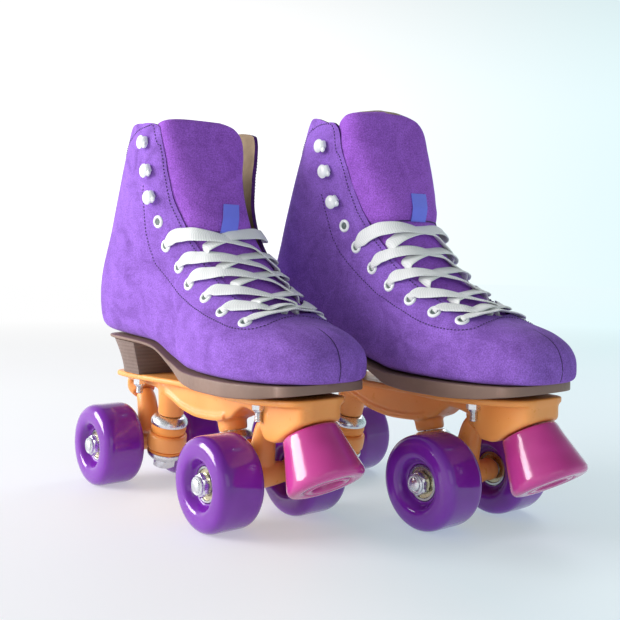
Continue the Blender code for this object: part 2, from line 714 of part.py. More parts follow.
def add_truck(side, end, skate, meshes):
    """A truck with its wheels: end is front or rear."""
    turn = 0.0 if end == "rear" else math.pi
    name = f"{side}_{end}"
    fixed = add_frame(f"{name}_kingpin_frame", skate, (0, 0, 0), turn)
    for part, slot in (
        ("kingpin", "zinc"),
        ("upper_cup", "zinc"),
        ("lower_cup", "zinc"),
        ("upper_cushion", "cushion"),
        ("lower_cushion", "cushion"),
    ):
        add_node(f"{name}_{part}", meshes[part], slot, fixed)
    place = Matrix.Rotation(turn, 4, "Z") @ RING_CENTRE
    truck = add_frame(f"{name}_steering", skate, place, turn)
    add_node(f"{name}_hanger", meshes["hanger"], "orange_nylon", truck)
    axle_centre = Vector((0, AXLE_Y, WHEEL_RADIUS)) - RING_CENTRE
    add_node(f"{name}_axle", meshes["axle"], "zinc", truck, axle_centre)
    for where, sign in (("outer", -1), ("inner", 1)):
        across = sign if side == "right" else -sign
        x = across * TRACK / 2 * (1 if end == "rear" else -1)
        centre = axle_centre + Vector((x, 0, 0))
        add_node(f"{name}_{where}_wheel", meshes["wheel"], "wheel", truck, centre)
        add_node(f"{name}_{where}_bearings", meshes["bearings"], "bearing", truck, centre)


def add_skate(side, meshes):
    mirror = side == "left"
    sign = 1 if mirror else -1
    place = (sign * SKATE_SPACING / 2, -sign * LEFT_STEP_AHEAD / 2 + PAIR_SHIFT_Y, 0)
    skate = add_frame(f"{side}_skate", None, place)
    add_boot(side, skate, mirror)
    add_node(f"{side}_plate", meshes["plate"], "orange_nylon", skate)
    add_node(f"{side}_toe_stop", meshes["toe_stop"], "toe_stop", skate)
    add_node(f"{side}_toe_stop_bolt", meshes["toe_stop_bolt"], "zinc", skate)
    for end in ("front", "rear"):
        add_truck(side, end, skate, meshes)


def add_skates():
    meshes = {
        "wheel": wheel_mesh(),
        "bearings": bearing_mesh(),
        "axle": axle_mesh(),
        "hanger": hanger_mesh(),
        "kingpin": kingpin_mesh(),
        "upper_cup": cup_mesh("upper_cup", UPPER_CUP_SPAN, "low"),
        "lower_cup": cup_mesh("lower_cup", LOWER_CUP_SPAN, "high"),
        "upper_cushion": cushion_mesh("upper_cushion", UPPER_CUSHION_SPAN),
        "lower_cushion": cushion_mesh("lower_cushion", LOWER_CUSHION_SPAN),
        "plate": plate_mesh(),
        "toe_stop": toe_stop_mesh(),
        "toe_stop_bolt": toe_stop_bolt_mesh(),
    }
    for side in ("right", "left"):
        add_skate(side, meshes)


clear_scene()
PARTS = bpy.data.collections.new(OBJECT_NAME)
CUTTERS = bpy.data.collections.new("cutters")
CUTTERS.hide_render = True
for collection in (PARTS, CUTTERS):
    bpy.context.scene.collection.children.link(collection)
MATERIALS = {
    "suede": make_material("suede", (0.23, 0.05, 0.42), 0.9),
    "tongue_suede": make_material("tongue_suede", (0.21, 0.05, 0.38), 0.9),
    "lace": make_material("lace", (0.85, 0.85, 0.83), 0.8),
    "sole": make_material("sole", (0.26, 0.17, 0.12), 0.6),
    "heel": make_material("heel", (0.22, 0.15, 0.11), 0.55),
    "orange_nylon": make_material("orange_nylon", (0.93, 0.42, 0.09), 0.3),
    "cushion": make_material("cushion", (0.90, 0.40, 0.10), 0.45),
    "zinc": make_material("zinc", (0.70, 0.71, 0.70), 0.3, 1.0),
    "bearing": make_material("bearing", (0.62, 0.60, 0.52), 0.3, 1.0),
    "wheel": make_material("wheel", (0.22, 0.02, 0.45), 0.15),
    "toe_stop": make_material("toe_stop", (0.72, 0.08, 0.32), 0.2),
}
add_skates()
bpy.context.view_layer.update()
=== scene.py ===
"""Looks of the pair of quad roller skates: suede boots with padded tongues and flat laces, moulded orange
plates and trucks, glossy wheels and toe stops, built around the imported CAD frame.

Shapes are drawn in millimetres in the right skate's own frame (origin on the floor midway between the axles,
toes to -Y, +X to the inner side of the foot) and placed from the frame's boxes. The left skate mirrors it.
"""

import math

import bmesh
import bpy
import numpy as np
from mathutils import Matrix, Vector, noise


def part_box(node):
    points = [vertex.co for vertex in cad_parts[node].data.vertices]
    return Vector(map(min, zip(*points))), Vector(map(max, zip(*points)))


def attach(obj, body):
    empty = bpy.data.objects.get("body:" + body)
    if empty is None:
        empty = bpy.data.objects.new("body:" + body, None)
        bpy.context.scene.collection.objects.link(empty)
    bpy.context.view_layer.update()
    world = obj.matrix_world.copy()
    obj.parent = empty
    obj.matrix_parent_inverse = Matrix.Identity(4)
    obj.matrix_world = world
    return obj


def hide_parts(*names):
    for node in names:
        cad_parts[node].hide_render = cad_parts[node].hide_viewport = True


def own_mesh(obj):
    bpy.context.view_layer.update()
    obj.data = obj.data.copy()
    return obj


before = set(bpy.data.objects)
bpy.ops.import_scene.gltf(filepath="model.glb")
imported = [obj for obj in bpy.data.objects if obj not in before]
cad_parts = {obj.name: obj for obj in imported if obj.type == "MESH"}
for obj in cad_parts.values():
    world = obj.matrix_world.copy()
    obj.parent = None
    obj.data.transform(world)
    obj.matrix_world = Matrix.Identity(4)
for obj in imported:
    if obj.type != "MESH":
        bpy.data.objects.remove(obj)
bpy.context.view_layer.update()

MM = 0.001

# Running gear, as in the CAD
WHEEL_RADIUS = 29.0
TRACK = 64.5
AXLE_Y = 73.2
BEARING_FACE = 9.5
BEARING_GAP = 0.3
AXLE_RADIUS = 4.0
NUT_HEIGHT = 6.4
RING_CENTRE = Vector((0.0, 45.4, 32.5))
KINGPIN_TILT = math.radians(14.0)
PIVOT_CENTRE = Vector((0.0, 79.0, 63.0))
KINGPIN_RADIUS = 4.8
PLATE_TOP = 81.0
PLATE_TOE_RISE = 3.0
FLANGE_THICKNESS = 4.0
STOP_TOP_CENTRE = Vector((0.0, -120.0, 62.5))
STOP_TILT = math.radians(30.0)
HEEL_BREAST_Y = 46.0
HEEL_TOP_FRONT = 104.2

# The boot's sections, as in the CAD but squarer at the lower edge: the point on the front or top line (y, z),
# the point on the bottom or back line (y, z), half width, height of the widest place, roundness exponents of
# the upper and lower half, shift of the section towards the inner side, and further shift of its crown.
BOOT_STATIONS = (
    (-144.2, 107.0, -143.6, 94.2, 9.0, 0.45, 2.2, 3.2, 3.6, 0.0),
    (-142.2, 112.0, -142.0, 93.4, 18.0, 0.42, 2.2, 4.2, 3.6, 0.0),
    (-136.5, 118.0, -136.5, 92.8, 25.5, 0.40, 2.2, 5.0, 3.4, 0.0),
    (-125.0, 123.3, -125.0, 92.0, 32.0, 0.38, 2.3, 6.0, 2.4, 0.5),
    (-107.0, 128.0, -107.0, 91.6, 38.0, 0.37, 2.3, 6.5, 1.2, 1.5),
    (-87.0, 136.0, -84.0, 91.4, 41.0, 0.36, 2.3, 6.5, 0.2, 3.5),
    (-69.5, 146.5, -58.0, 91.4, 40.0, 0.37, 2.3, 6.0, 0.0, 5.0),
    (-54.5, 158.5, -36.0, 91.6, 37.5, 0.40, 2.4, 5.5, 0.3, 5.5),
    (-43.0, 171.5, -10.0, 96.0, 35.0, 0.44, 2.6, 5.0, 0.8, 4.5),
    (-34.5, 185.5, 25.0, 105.2, 34.0, 0.50, 2.9, 4.8, 1.3, 2.5),
    (-28.5, 200.0, 67.0, 107.6, 35.0, 0.54, 3.2, 4.4, 0.8, 1.0),
    (-23.5, 213.0, 104.0, 110.0, 37.0, 0.57, 3.5, 3.2, 0.2, 0.5),
    (-19.0, 225.0, 114.5, 133.0, 38.6, 0.60, 3.8, 2.5, 0.8, 0.0),
    (-15.5, 236.0, 102.5, 171.0, 39.2, 0.62, 4.1, 2.2, 2.2, 0.0),
    (-12.5, 246.0, 86.0, 210.0, 39.8, 0.62, 4.3, 2.15, 3.0, 0.0),
    (-10.5, 253.5, 71.0, 245.0, 39.0, 0.62, 4.5, 2.15, 3.2, 0.0),
)
LAST = len(BOOT_STATIONS) - 1
# The sections that stand on the sole: their lower line (y, z) and shift
SOLE_LINE = [(row[2], row[3], row[8]) for row in BOOT_STATIONS[:11]]
THROAT_START = 4.3
RIM_START = 13.4
# Half opening of the throat in degrees, by station; the quarters of the left boot gape wider
THROAT = {
    "right": (
        (4.3, 0.0), (4.6, 22.0), (6.0, 31.0), (7.5, 39.0), (8.5, 44.0), (9.35, 48.0), (10.3, 48.0),
        (11.7, 46.8), (12.6, 50.0), (13.5, 54.5), (14.4, 60.0), (14.9, 65.0), (15.25, 75.0),
    ),
    "left": (
        (4.3, 0.0), (4.6, 20.0), (6.0, 30.0), (7.5, 40.0), (8.5, 48.0), (9.9, 56.0), (10.6, 57.0),
        (11.5, 59.0), (12.7, 65.0), (13.9, 73.0), (14.7, 78.0), (15.2, 84.0), (15.55, 93.0),
    ),
}
# Top edge of each quarter: its highest station and the angle where it is
RIM = {"right": (15.30, 88.0), "left": (15.58, 95.0)}
# Laced eyelets from the top down: station and angle on the outer and inner side
OUTER_EYELETS = ((9.69, 74.4), (8.70, 72.4), (7.91, 68.6), (6.80, 58.1), (5.72, 52.9), (4.70, 45.4))
INNER_EYELETS = ((9.83, 76.2), (8.78, 73.6), (7.80, 65.6), (6.64, 55.3), (5.58, 47.9), (4.68, 38.4))
EMPTY_EYELET = {-1: (10.64, 70.2), 1: (10.88, 76.0)}
HOOKS = {-1: ((14.35, 87.1), (12.98, 79.2), (11.74, 71.5)), 1: ((14.51, 90.3), (13.42, 88.1), (12.06, 80.9))}
EYELET_RING = (
    (2.3, 0.1), (2.45, 0.7), (3.0, 1.0), (3.75, 0.85), (4.3, 0.35), (4.45, -0.4), (3.2, -2.4), (2.3, -2.4),
)
# A strand's way across: share of its own eyelet's angle (negative past the middle), and its drop in stations;
# the camera's side lies on top and runs lower
STRAND_NEAR = (
    (1.0, 0.0), (0.86, 0.1), (0.7, 0.42), (0.5, 0.88), (0.3, 1.25), (0.1, 1.6), (-0.12, 2.0), (-0.4, 2.45),
    (-0.75, 2.7),
)
STRAND_FAR = (
    (1.0, 0.0), (0.86, 0.15), (0.6, 0.75), (0.4, 1.08), (0.2, 1.22), (0.0, 1.33), (-0.25, 1.48), (-0.5, 1.52),
    (-0.75, 1.54),
)
STRAND_SCALE = {"right": (1.0, 1.0, 0.98, 0.95, 0.78), "left": (0.66, 0.7, 0.84, 0.9, 0.74)}
LOWEST_STRAND = 4.72
LACE_WIDTH = 10.0
LACE_THICKNESS = 1.35
LACE_IN_EYELET = 4.4
# Stitch row round the facing, from the front centre up the side: station, angle
STITCH_ROW = {
    -1: (
        (4.22, 0.0), (4.16, 15.2), (4.10, 32.3), (4.28, 47.5), (4.88, 58.9), (5.40, 62.5), (6.22, 67.7),
        (7.31, 75.8), (8.27, 83.1), (8.99, 86.7), (9.61, 87.3), (10.26, 85.1), (10.87, 81.9),
        (11.67, 80.4), (12.65, 83.4),
    ),
    1: (
        (4.22, 0.0), (4.12, 20.0), (4.16, 38.3), (4.49, 52.5), (5.04, 60.8), (5.67, 65.8), (6.58, 69.5),
        (7.56, 76.0), (8.37, 82.7), (9.01, 85.9), (9.61, 86.3), (10.17, 86.2), (10.78, 85.1),
        (11.41, 85.5), (12.8, 89.5),
    ),
}
STITCH_PITCH = 2.35
STITCH_LENGTH = 1.35
STITCH_RADIUS = 0.46
STITCH_LIFT = 0.05
WALL = 2.4
# Middle of the toe, where its seam runs, and how far its tip bulges
TOE_X = 1.9
TOE_Z = 105.0
TIP_DEPTH = 1.1
TONGUE_INSET = 3.0
TONGUE_SEAM = {"right": 8.78, "left": 9.4}
# Angle of the tongue's edge by station up to its top, on the outer and inner side; it leans to the world -X
TONGUE_EDGE = {
    ("right", -1): (
        (4.9, 31.0), (8.5, 50.0), (12.0, 54.0), (14.3, 70.0), (15.0, 74.0), (15.22, 64.0), (15.35, 30.0),
        (15.38, 1.0),
    ),
    ("right", 1): (
        (4.9, 31.0), (7.0, 36.0), (8.5, 24.0), (9.4, 19.5), (12.5, 20.5), (13.5, 19.5), (14.3, 15.5),
        (14.9, 9.5), (15.25, 4.0), (15.38, 0.5),
    ),
    ("left", 1): (
        (4.9, 31.0), (8.5, 54.0), (12.0, 68.0), (14.6, 84.0), (15.3, 82.0), (15.7, 72.0), (15.9, 57.0),
        (16.2, 20.0), (16.38, 2.0),
    ),
    ("left", -1): (
        (4.9, 31.0), (7.0, 38.0), (9.0, 36.0), (12.0, 38.0), (13.5, 37.0), (14.6, 34.0), (15.3, 28.0),
        (15.9, 18.0), (16.25, 7.0), (16.38, 0.5),
    ),
}
LABEL_X = {"right": (-8.0, 4.2), "left": (-2.4, 11.0)}
LABEL_TOP = 18.6
LABEL_LEAN = {"right": 5.2, "left": -4.5}
# Section of a hook's neck: across its width, and its rounded thickness in the two other directions
HOOK_SECTION = (
    (-1, 0, 0.4), (-0.8, 0, 1), (0.8, 0, 1), (1, 0, 0.4), (1, 0, -0.4), (0.8, 0, -1), (-0.8, 0, -1),
    (-1, 0, -0.4),
)
# How far the quarter away from the camera stands open at its edge
FLARE = 3.2

# Sole band (y, half width, underside z)
SOLE_STATIONS = (
    (-141.8, 9.0, 88.4), (-139.8, 17.0, 87.9), (-134.5, 24.5, 87.0), (-124.0, 30.8, 85.4),
    (-107.0, 37.0, 83.2), (-84.0, 40.4, 82.2), (-58.0, 39.4, 82.2), (-36.0, 36.4, 83.4),
    (-10.0, 32.0, 92.2), (20.0, 29.5, 102.2), (44.0, 29.0, HEEL_TOP_FRONT),
    (66.0, 29.0, HEEL_TOP_FRONT + 0.7), (85.0, 26.5, HEEL_TOP_FRONT + 1.3),
    (96.0, 20.5, HEEL_TOP_FRONT + 1.65), (102.0, 11.0, HEEL_TOP_FRONT + 1.84),
)
# Plate's flange (y, half width)
PLATE_FLANGE = (
    (-133.0, 10.0), (-131.4, 16.0), (-127.0, 20.0), (-118.0, 23.0), (-98.0, 27.0), (-70.0, 26.0),
    (-35.0, 20.0), (0.0, 18.0), (30.0, 20.5), (60.0, 23.0), (82.0, 21.5), (86.0, 17.0),
)
# Plate body under the flange (y, half width, underside z)
PLATE_BODY = (
    (-132.6, 9.5, 71.4), (-131.4, 13.0, 70.2), (-128.0, 15.6, 68.4), (-118.0, 16.5, 62.4),
    (-103.0, 16.0, 55.2), (-96.0, 15.5, 55.6), (-84.0, 14.0, 69.0), (-67.0, 11.5, 71.0),
    (-60.0, 11.0, 68.0), (-52.0, 11.0, 62.5), (-36.0, 11.5, 58.4), (-16.0, 11.5, 57.6), (4.0, 11.0, 59.8),
    (22.0, 10.5, 65.0), (38.0, 10.5, 69.5), (52.0, 11.0, 71.5), (66.0, 13.5, 73.0), (79.0, 14.5, 73.5),
    (84.0, 12.0, 74.4),
)


# --- curves and directions --------------------------------------------------------------------------


def smooth_through(knots, values, at):
    """Cubic through the knots that never swings past them (monotone slopes)."""
    knots, values, at = np.array(knots, float), np.array(values, float), np.array(at, float)
    step = np.diff(knots)
    rise = np.diff(values) / step
    slope = np.concatenate([[rise[0]], np.zeros(len(rise) - 1), [rise[-1]]])
    for i in range(1, len(rise)):
        if rise[i - 1] * rise[i] > 0:
            weights = (2 * step[i] + step[i - 1], step[i] + 2 * step[i - 1])
            slope[i] = sum(weights) / (weights[0] / rise[i - 1] + weights[1] / rise[i])
    i = np.clip(np.searchsorted(knots, at) - 1, 0, len(rise) - 1)
    t = (at - knots[i]) / step[i]
    low = values[i] * (1 + 2 * t) * (1 - t) ** 2 + slope[i] * step[i] * t * (1 - t) ** 2
    high = values[i + 1] * t**2 * (3 - 2 * t) + slope[i + 1] * step[i] * t**2 * (t - 1)
    return low + high


def table(rows, at, column=1):
    """A column of the rows, read smoothly along their first one and held at its ends."""
    knots = [row[0] for row in rows]
    return smooth_through(knots, [row[column] for row in rows], np.clip(at, knots[0], knots[-1]))


def ease(t):
    t = np.clip(t, 0.0, 1.0)
    return t * t * (3 - 2 * t)


def unit(vectors):
    return vectors / np.linalg.norm(vectors, axis=-1, keepdims=True)


def distances(path):
    """How far along a path each of its points lies."""
    return np.concatenate([[0], np.cumsum(np.linalg.norm(np.diff(path, axis=0), axis=1))])


def moved(points, matrix):
    turn = np.array(matrix)
    return np.asarray(points, float) @ turn[:3, :3].T + turn[:3, 3]


def axes(origin, x, y, z):
    """A frame at a point from its three directions."""
    matrix = Matrix(np.column_stack([x, y, z]).tolist()).to_4x4()
    matrix.translation = origin
    return matrix


def between(t, start, end, low, high):
    return (end - t) / (end - start) * low + (t - start) / (end - start) * high


def curve_through(knots, count):
    """A smooth open curve through points, by Catmull-Rom, with count points in all."""
    knots = np.asarray(knots, float)
    steps = np.linalg.norm(np.diff(knots, axis=0), axis=1) ** 0.5
    at = np.concatenate([[0], np.cumsum(steps)])
    padded = np.concatenate([[2 * knots[0] - knots[1]], knots, [2 * knots[-1] - knots[-2]]])
    times = np.concatenate([[at[0] - steps[0]], at, [at[-1] + steps[-1]]])
    out = []
    for t in np.linspace(0, at[-1], count):
        i = min(np.searchsorted(at, t, side="right") - 1, len(knots) - 2)
        p, s = padded[i : i + 4], times[i : i + 4]
        a = [between(t, s[k], s[k + 1], p[k], p[k + 1]) for k in range(3)]
        b = [between(t, s[k], s[k + 2], a[k], a[k + 1]) for k in range(2)]
        out.append(between(t, s[1], s[2], b[0], b[1]))
    return np.array(out)


# --- the boot's surface -----------------------------------------------------------------------------

ROWS = np.array(BOOT_STATIONS)
FINE = np.linspace(0, LAST, 901)
FINE_ROWS = [smooth_through(range(LAST + 1), column, FINE) for column in ROWS.T]


def skin(at, degrees, lift=0.0):
    """Points of the boot's outer skin: the angle runs from the front line, positive to the inner side."""
    at, degrees, lift = (a.astype(float) for a in np.broadcast_arrays(at, degrees, lift))
    inside = np.minimum(at, LAST)
    row = [np.interp(inside, FINE, column) for column in FINE_ROWS]
    for i in range(4):
        row[i] = row[i] + (ROWS[-1, i] - ROWS[-2, i]) * (at - inside)
    front_y, front_z, back_y, back_z, half_width, widest, round_up, round_down, shift, crown = row
    length = np.hypot(front_y - back_y, front_z - back_z)
    along_y, along_z = (front_y - back_y) / length, (front_z - back_z) / length
    sine, cosine = np.sin(np.radians(degrees)), np.cos(np.radians(degrees))
    reach = np.where(cosine > 0, length * (1 - widest), length * widest) + lift
    power = np.where(cosine > 0, round_up, round_down)
    side = np.sign(sine) * np.abs(sine) ** (2 / power) * (half_width + lift)
    along = np.sign(cosine) * np.abs(cosine) ** (2 / power) * reach + length * widest
    x = side + shift + crown * np.maximum(0.0, cosine)
    return np.stack([x, back_y + along_y * along, back_z + along_z * along], -1)


def middle_of(at):
    """Middle of the boot's section at a station."""
    return skin(at, 0.0) * 0.5 + skin(at, 180.0) * 0.5


def skin_frame(skate, at, degrees):
    """A point of the upper with its directions: up the boot, round it (to larger angles) and outwards."""
    point = skate.skin(at, degrees)
    across = unit(skate.skin(at, degrees + 0.5) - skate.skin(at, degrees - 0.5))
    up = skate.skin(at + 0.02, degrees) - skate.skin(at - 0.02, degrees)
    up = unit(up - across * np.dot(up, across))
    out = np.cross(across, up)
    return point, up, across, out if np.dot(out, point - middle_of(at)) > 0 else -out


# --- meshes ---------------------------------------------------------------------------------------


class Skate:
    """One of the two skates, where shapes drawn in the right skate's frame are placed."""

    def __init__(self, side):
        self.side = side
        self.mirror = side == "left"
        self.near = 1 if self.mirror else -1
        boxes = [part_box(f"{side}_{end}_{w}_wheel") for end in ("front", "rear") for w in ("outer", "inner")]
        middle = (np.min([b[0] for b in boxes], 0) + np.max([b[1] for b in boxes], 0)) / 2
        self.origin = middle * [1.0, 1.0, 0.0]
        self.flip = np.array([-1.0 if self.mirror else 1.0, 1.0, 1.0])

    def place(self, points):
        return np.asarray(points, float) * self.flip * MM + self.origin

    def throat(self, at):
        """Half opening of the throat in degrees."""
        return np.where(np.asarray(at) <= THROAT_START, 0.0, table(THROAT[self.side], at))

    def rim(self, degrees):
        """Station of the top edge by angle: each quarter ends in a round lobe, and the edge drops behind."""
        top, peak = RIM[self.side]
        angle = np.abs((np.asarray(degrees) + 180.0) % 360.0 - 180.0)
        corner = np.clip((peak - angle) / 34.0, 0.0, 1.0)
        return top - 0.5 * corner**3.2 - 0.75 * ease((angle - peak) / 62.0)

    def skin(self, at, degrees, lift=0.0):
        """Points of the upper: the quarter away from the camera's side stands open towards its edge."""
        angle = (np.asarray(degrees) + 180.0) % 360.0 - 180.0
        open_up = ease((np.asarray(at) - 8.6) / 3.4) * ease((104.0 - np.abs(angle)) / 50.0)
        return skin(at, degrees, lift + np.where(angle * self.near < 0, FLARE * open_up, 0.0))

    def piece(self, name, parts, materials, sharp=None):
        """One object from (points, faces, material number) parts drawn in millimetres."""
        points, faces, slots = [], [], []
        count = 0
        for more, polygons, number in parts:
            points.append(self.place(more))
            faces += [[i + count for i in (reversed(p) if self.mirror else p)] for p in polygons]
            slots += np.broadcast_to(number, len(polygons)).tolist()
            count += len(more)
        mesh = bpy.data.meshes.new(f"{self.side}_{name}")
        mesh.from_pydata(np.concatenate(points).tolist(), [], faces)
        for material in materials:
            mesh.materials.append(material)
        mesh.polygons.foreach_set("material_index", slots)
        mesh.shade_smooth()
        if sharp is not None:
            mesh.set_sharp_from_angle(angle=math.radians(sharp))
        mesh.update()
        obj = bpy.data.objects.new(f"{self.side}_{name}", mesh)
        bpy.context.scene.collection.objects.link(obj)
        return obj

    def finish(self, obj, body, slot, *nodes):
        """The piece rides its body and stands for these CAD nodes, which it hides; the slot is not used."""
        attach(obj, f"{self.side}_{body}")
        if nodes:
            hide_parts(*(f"{self.side}_{node}" for node in nodes))
        return obj

    def add(self, name, parts, materials, sharp, body, slot, *nodes):
        """A piece that needs no more work, with its body and CAD nodes; the slot is not used."""
        return self.finish(self.piece(name, parts, materials, sharp), body, slot, *nodes)


def bake(obj):
    """Applies the object's modifiers to its mesh."""
    bpy.context.view_layer.update()
    graph = bpy.context.evaluated_depsgraph_get()
    mesh = bpy.data.meshes.new_from_object(obj.evaluated_get(graph))
    obj.modifiers.clear()
    old, obj.data = obj.data, mesh
    bpy.data.meshes.remove(old)
    return obj


def grid(points, closed_u=False, closed_v=False):
    """Points and faces of a grid of points[u][v]; the faces look along dv x du."""
    points = np.asarray(points, float)
    nu, nv = points.shape[:2]
    faces = []
    for u in range(nu if closed_u else nu - 1):
        for v in range(nv if closed_v else nv - 1):
            a, b = u * nv + v, u * nv + (v + 1) % nv
            c, d = ((u + 1) % nu) * nv + (v + 1) % nv, ((u + 1) % nu) * nv + v
            faces.append((a, b, c, d))
    return points.reshape(-1, 3), faces


def facing_out(part):
    """The part with its faces turned to look outwards from a closed shape."""
    points, faces, number = part
    points = np.asarray(points, float)
    volume = 0.0
    for face in faces:
        for b, c in zip(face[1:], face[2:]):
            volume += np.dot(points[face[0]], np.cross(points[b], points[c]))
    return points, faces if volume > 0 else [tuple(reversed(f)) for f in faces], number


def loft(rings):
    """A closed skin through rings of equally many points."""
    points, faces = grid(rings, closed_v=True)
    around = len(rings[0])
    caps = [tuple(range(around))[::-1], tuple(range(len(points) - around, len(points)))]
    return facing_out((points, faces + caps, 0))


def weld(part):
    """Merges points that coincide and drops the faces that this empties."""
    points, faces, number = part
    _, first, index = np.unique(np.round(points, 4), axis=0, return_index=True, return_inverse=True)
    index = index.reshape(-1)
    kept = []
    for face in faces:
        ring = [int(index[i]) for i in face]
        ring = [v for i, v in enumerate(ring) if v != ring[i - 1]]
        if len(ring) > 2:
            kept.append(tuple(ring))
    return points[first], kept, number


def turned(profile, matrix=Matrix.Identity(4), number=0, sides=64):
    """A closed ring, or a solid where the profile starts and ends on the axis, turned about Z."""
    angles = np.linspace(0, 2 * math.pi, sides, endpoint=False)
    rings = [[(r * math.cos(a), r * math.sin(a), h) for a in angles] for r, h in profile]
    points, faces = grid(rings, closed_u=profile[0][0] > 0, closed_v=True)
    return facing_out(weld((moved(points, matrix), faces, number)))


def turned_about(part, matrix):
    points, faces, number = part
    return moved(points, matrix), faces, number


def hexagon(across_flats, levels, matrix=Matrix.Identity(4), steps=8):
    """A hexagonal head, its corners cut back at each level (height, largest radius) to a round."""
    radius = across_flats / 2 / math.cos(math.pi / 6)
    corners = radius * np.array([(math.cos(math.pi * i / 3), math.sin(math.pi * i / 3)) for i in range(7)])
    outline = np.concatenate([np.linspace(corners[i], corners[i + 1], steps + 1)[:-1] for i in range(6)])
    size = np.linalg.norm(outline, axis=1)
    rings = []
    for height, limit in levels:
        shape = outline * np.minimum(1.0, limit / size)[:, None]
        rings.append(np.column_stack([shape, np.full(len(shape), height)]))
    return turned_about(loft(rings), matrix)


def along_x(x=0.0, y=0.0, z=0.0, sign=1):
    """Turns a shape drawn along Z so that it lies along X at a place, its top to the sign's side."""
    return Matrix.Translation((x, y, z)) @ Matrix.Rotation(sign * math.pi / 2, 4, "Y")


def tube(path, radius, sides=8):
    """A round tube along a path; radius is one number or one for each point."""
    path = np.asarray(path, float)
    tangents = unit(np.gradient(path, axis=0))
    askew = (0.31, 0.52, 0.79)
    side = np.cross(tangents[0], askew)
    angles = np.linspace(0, 2 * math.pi, sides, endpoint=False)
    rings = []
    for point, tangent, r in zip(path, tangents, np.broadcast_to(radius, len(path))):
        side = unit(side - tangent * np.dot(side, tangent))
        other = np.cross(tangent, side)
        rings.append([point + (side * math.cos(a) + other * math.sin(a)) * r for a in angles])
    return loft(rings)


def moulded(skate, name, parts, voxel):
    """Overlapping closed parts fused into one nylon moulding with soft edges and fillets."""
    obj = skate.piece(name, parts, [NYLON], 40.0)
    remesh = obj.modifiers.new("fuse", "REMESH")
    remesh.mode = "VOXEL"
    remesh.voxel_size = voxel * MM
    soften = obj.modifiers.new("soften", "SMOOTH")
    soften.factor = 0.5
    soften.iterations = 4
    bake(obj)
    obj.data.shade_smooth()
    return obj


def bevel(obj, width, degrees):
    edge = obj.modifiers.new("edge", "BEVEL")
    edge.width = width * MM
    edge.segments = 3
    edge.limit_method = "ANGLE"
    edge.angle_limit = math.radians(degrees)


def solidify(obj, thickness, inner_slot, rim_slot, rounding=0.0):
    """The open skin thickened inwards, its cut edges rounded."""
    wall = obj.modifiers.new("wall", "SOLIDIFY")
    wall.thickness = thickness * MM
    wall.offset = -1.0
    wall.material_offset = inner_slot
    wall.material_offset_rim = rim_slot
    if rounding:
        bevel(obj, rounding, 55.0)
    bake(obj)
    obj.data.shade_smooth()
    obj.data.set_sharp_from_angle(angle=math.radians(60.0))


def close_up(obj, gap=0.0):
    """Merges points no farther apart than the gap and turns the faces one way."""
    builder = bmesh.new()
    builder.from_mesh(obj.data)
    if gap:
        bmesh.ops.remove_doubles(builder, verts=builder.verts, dist=gap * MM)
    bmesh.ops.recalc_face_normals(builder, faces=builder.faces)
    builder.to_mesh(obj.data)
    builder.free()


def write_uv(obj, values):
    """Gives each corner of the mesh the (u, v) of its point, in millimetres."""
    corners = np.empty(len(obj.data.loops), int)
    obj.data.loops.foreach_get("vertex_index", corners)
    layer = obj.data.uv_layers.new(name="UVMap")
    layer.data.foreach_set("uv", values[corners].astype(np.float32).ravel())


# --- materials ------------------------------------------------------------------------------------


def rgba(level):
    """A colour or a grey level with full opacity."""
    return (*level, 1.0) if hasattr(level, "__len__") else (level, level, level, 1.0)


class Nodes:
    """Builds a node tree step by step."""

    def __init__(self, tree):
        self.tree = tree

    def give(self, socket, value):
        if isinstance(value, bpy.types.NodeSocket):
            self.tree.links.new(value, socket)
        else:
            socket.default_value = value

    def node(self, kind, **inputs):
        node = self.tree.nodes.new(f"ShaderNode{kind}")
        for name, value in inputs.items():
            self.give(node.inputs[name.replace("_", " ")], value)
        return node

    def calc(self, kind, operation, *values):
        """What a Math or VectorMath node makes of its values."""
        node = self.node(kind)
        node.operation = operation
        for socket, value in zip(node.inputs, values):
            self.give(socket, value)
        return node.outputs["Vector" if operation == "NORMALIZE" else "Value"]

    def ramp(self, value, low, high, places=(0.3, 0.7)):
        return self.stops(value, list(zip(places, (low, high))), "LINEAR")

    def stops(self, value, stops, easing):
        """Levels or colours at their places from 0 to 1."""
        node = self.node("ValToRGB", Fac=value)
        node.color_ramp.interpolation = easing
        elements = node.color_ramp.elements
        for _ in stops[2:]:
            elements.new(0.5)
        for element, (place, level) in zip(elements, stops):
            element.position = place
            element.color = rgba(level)
        return node.outputs["Color"]

    def spread(self, value, stops, easing="EASE"):
        """Levels or colours through (value, level) stops."""
        low, high = stops[0][0], stops[-1][0]
        fit = self.node("MapRange", Value=value, From_Min=low, From_Max=high)
        return self.stops(fit.outputs["Result"], [((v - low) / (high - low), c) for v, c in stops], easing)

    def mix(self, share, a, b, mode="MIX"):
        node = self.node("Mix")
        node.data_type = "RGBA"
        node.blend_type = mode
        for index, value in ((0, share), (6, a), (7, b)):
            self.give(node.inputs[index], rgba(value) if isinstance(value, tuple) else value)
        return node.outputs[2]


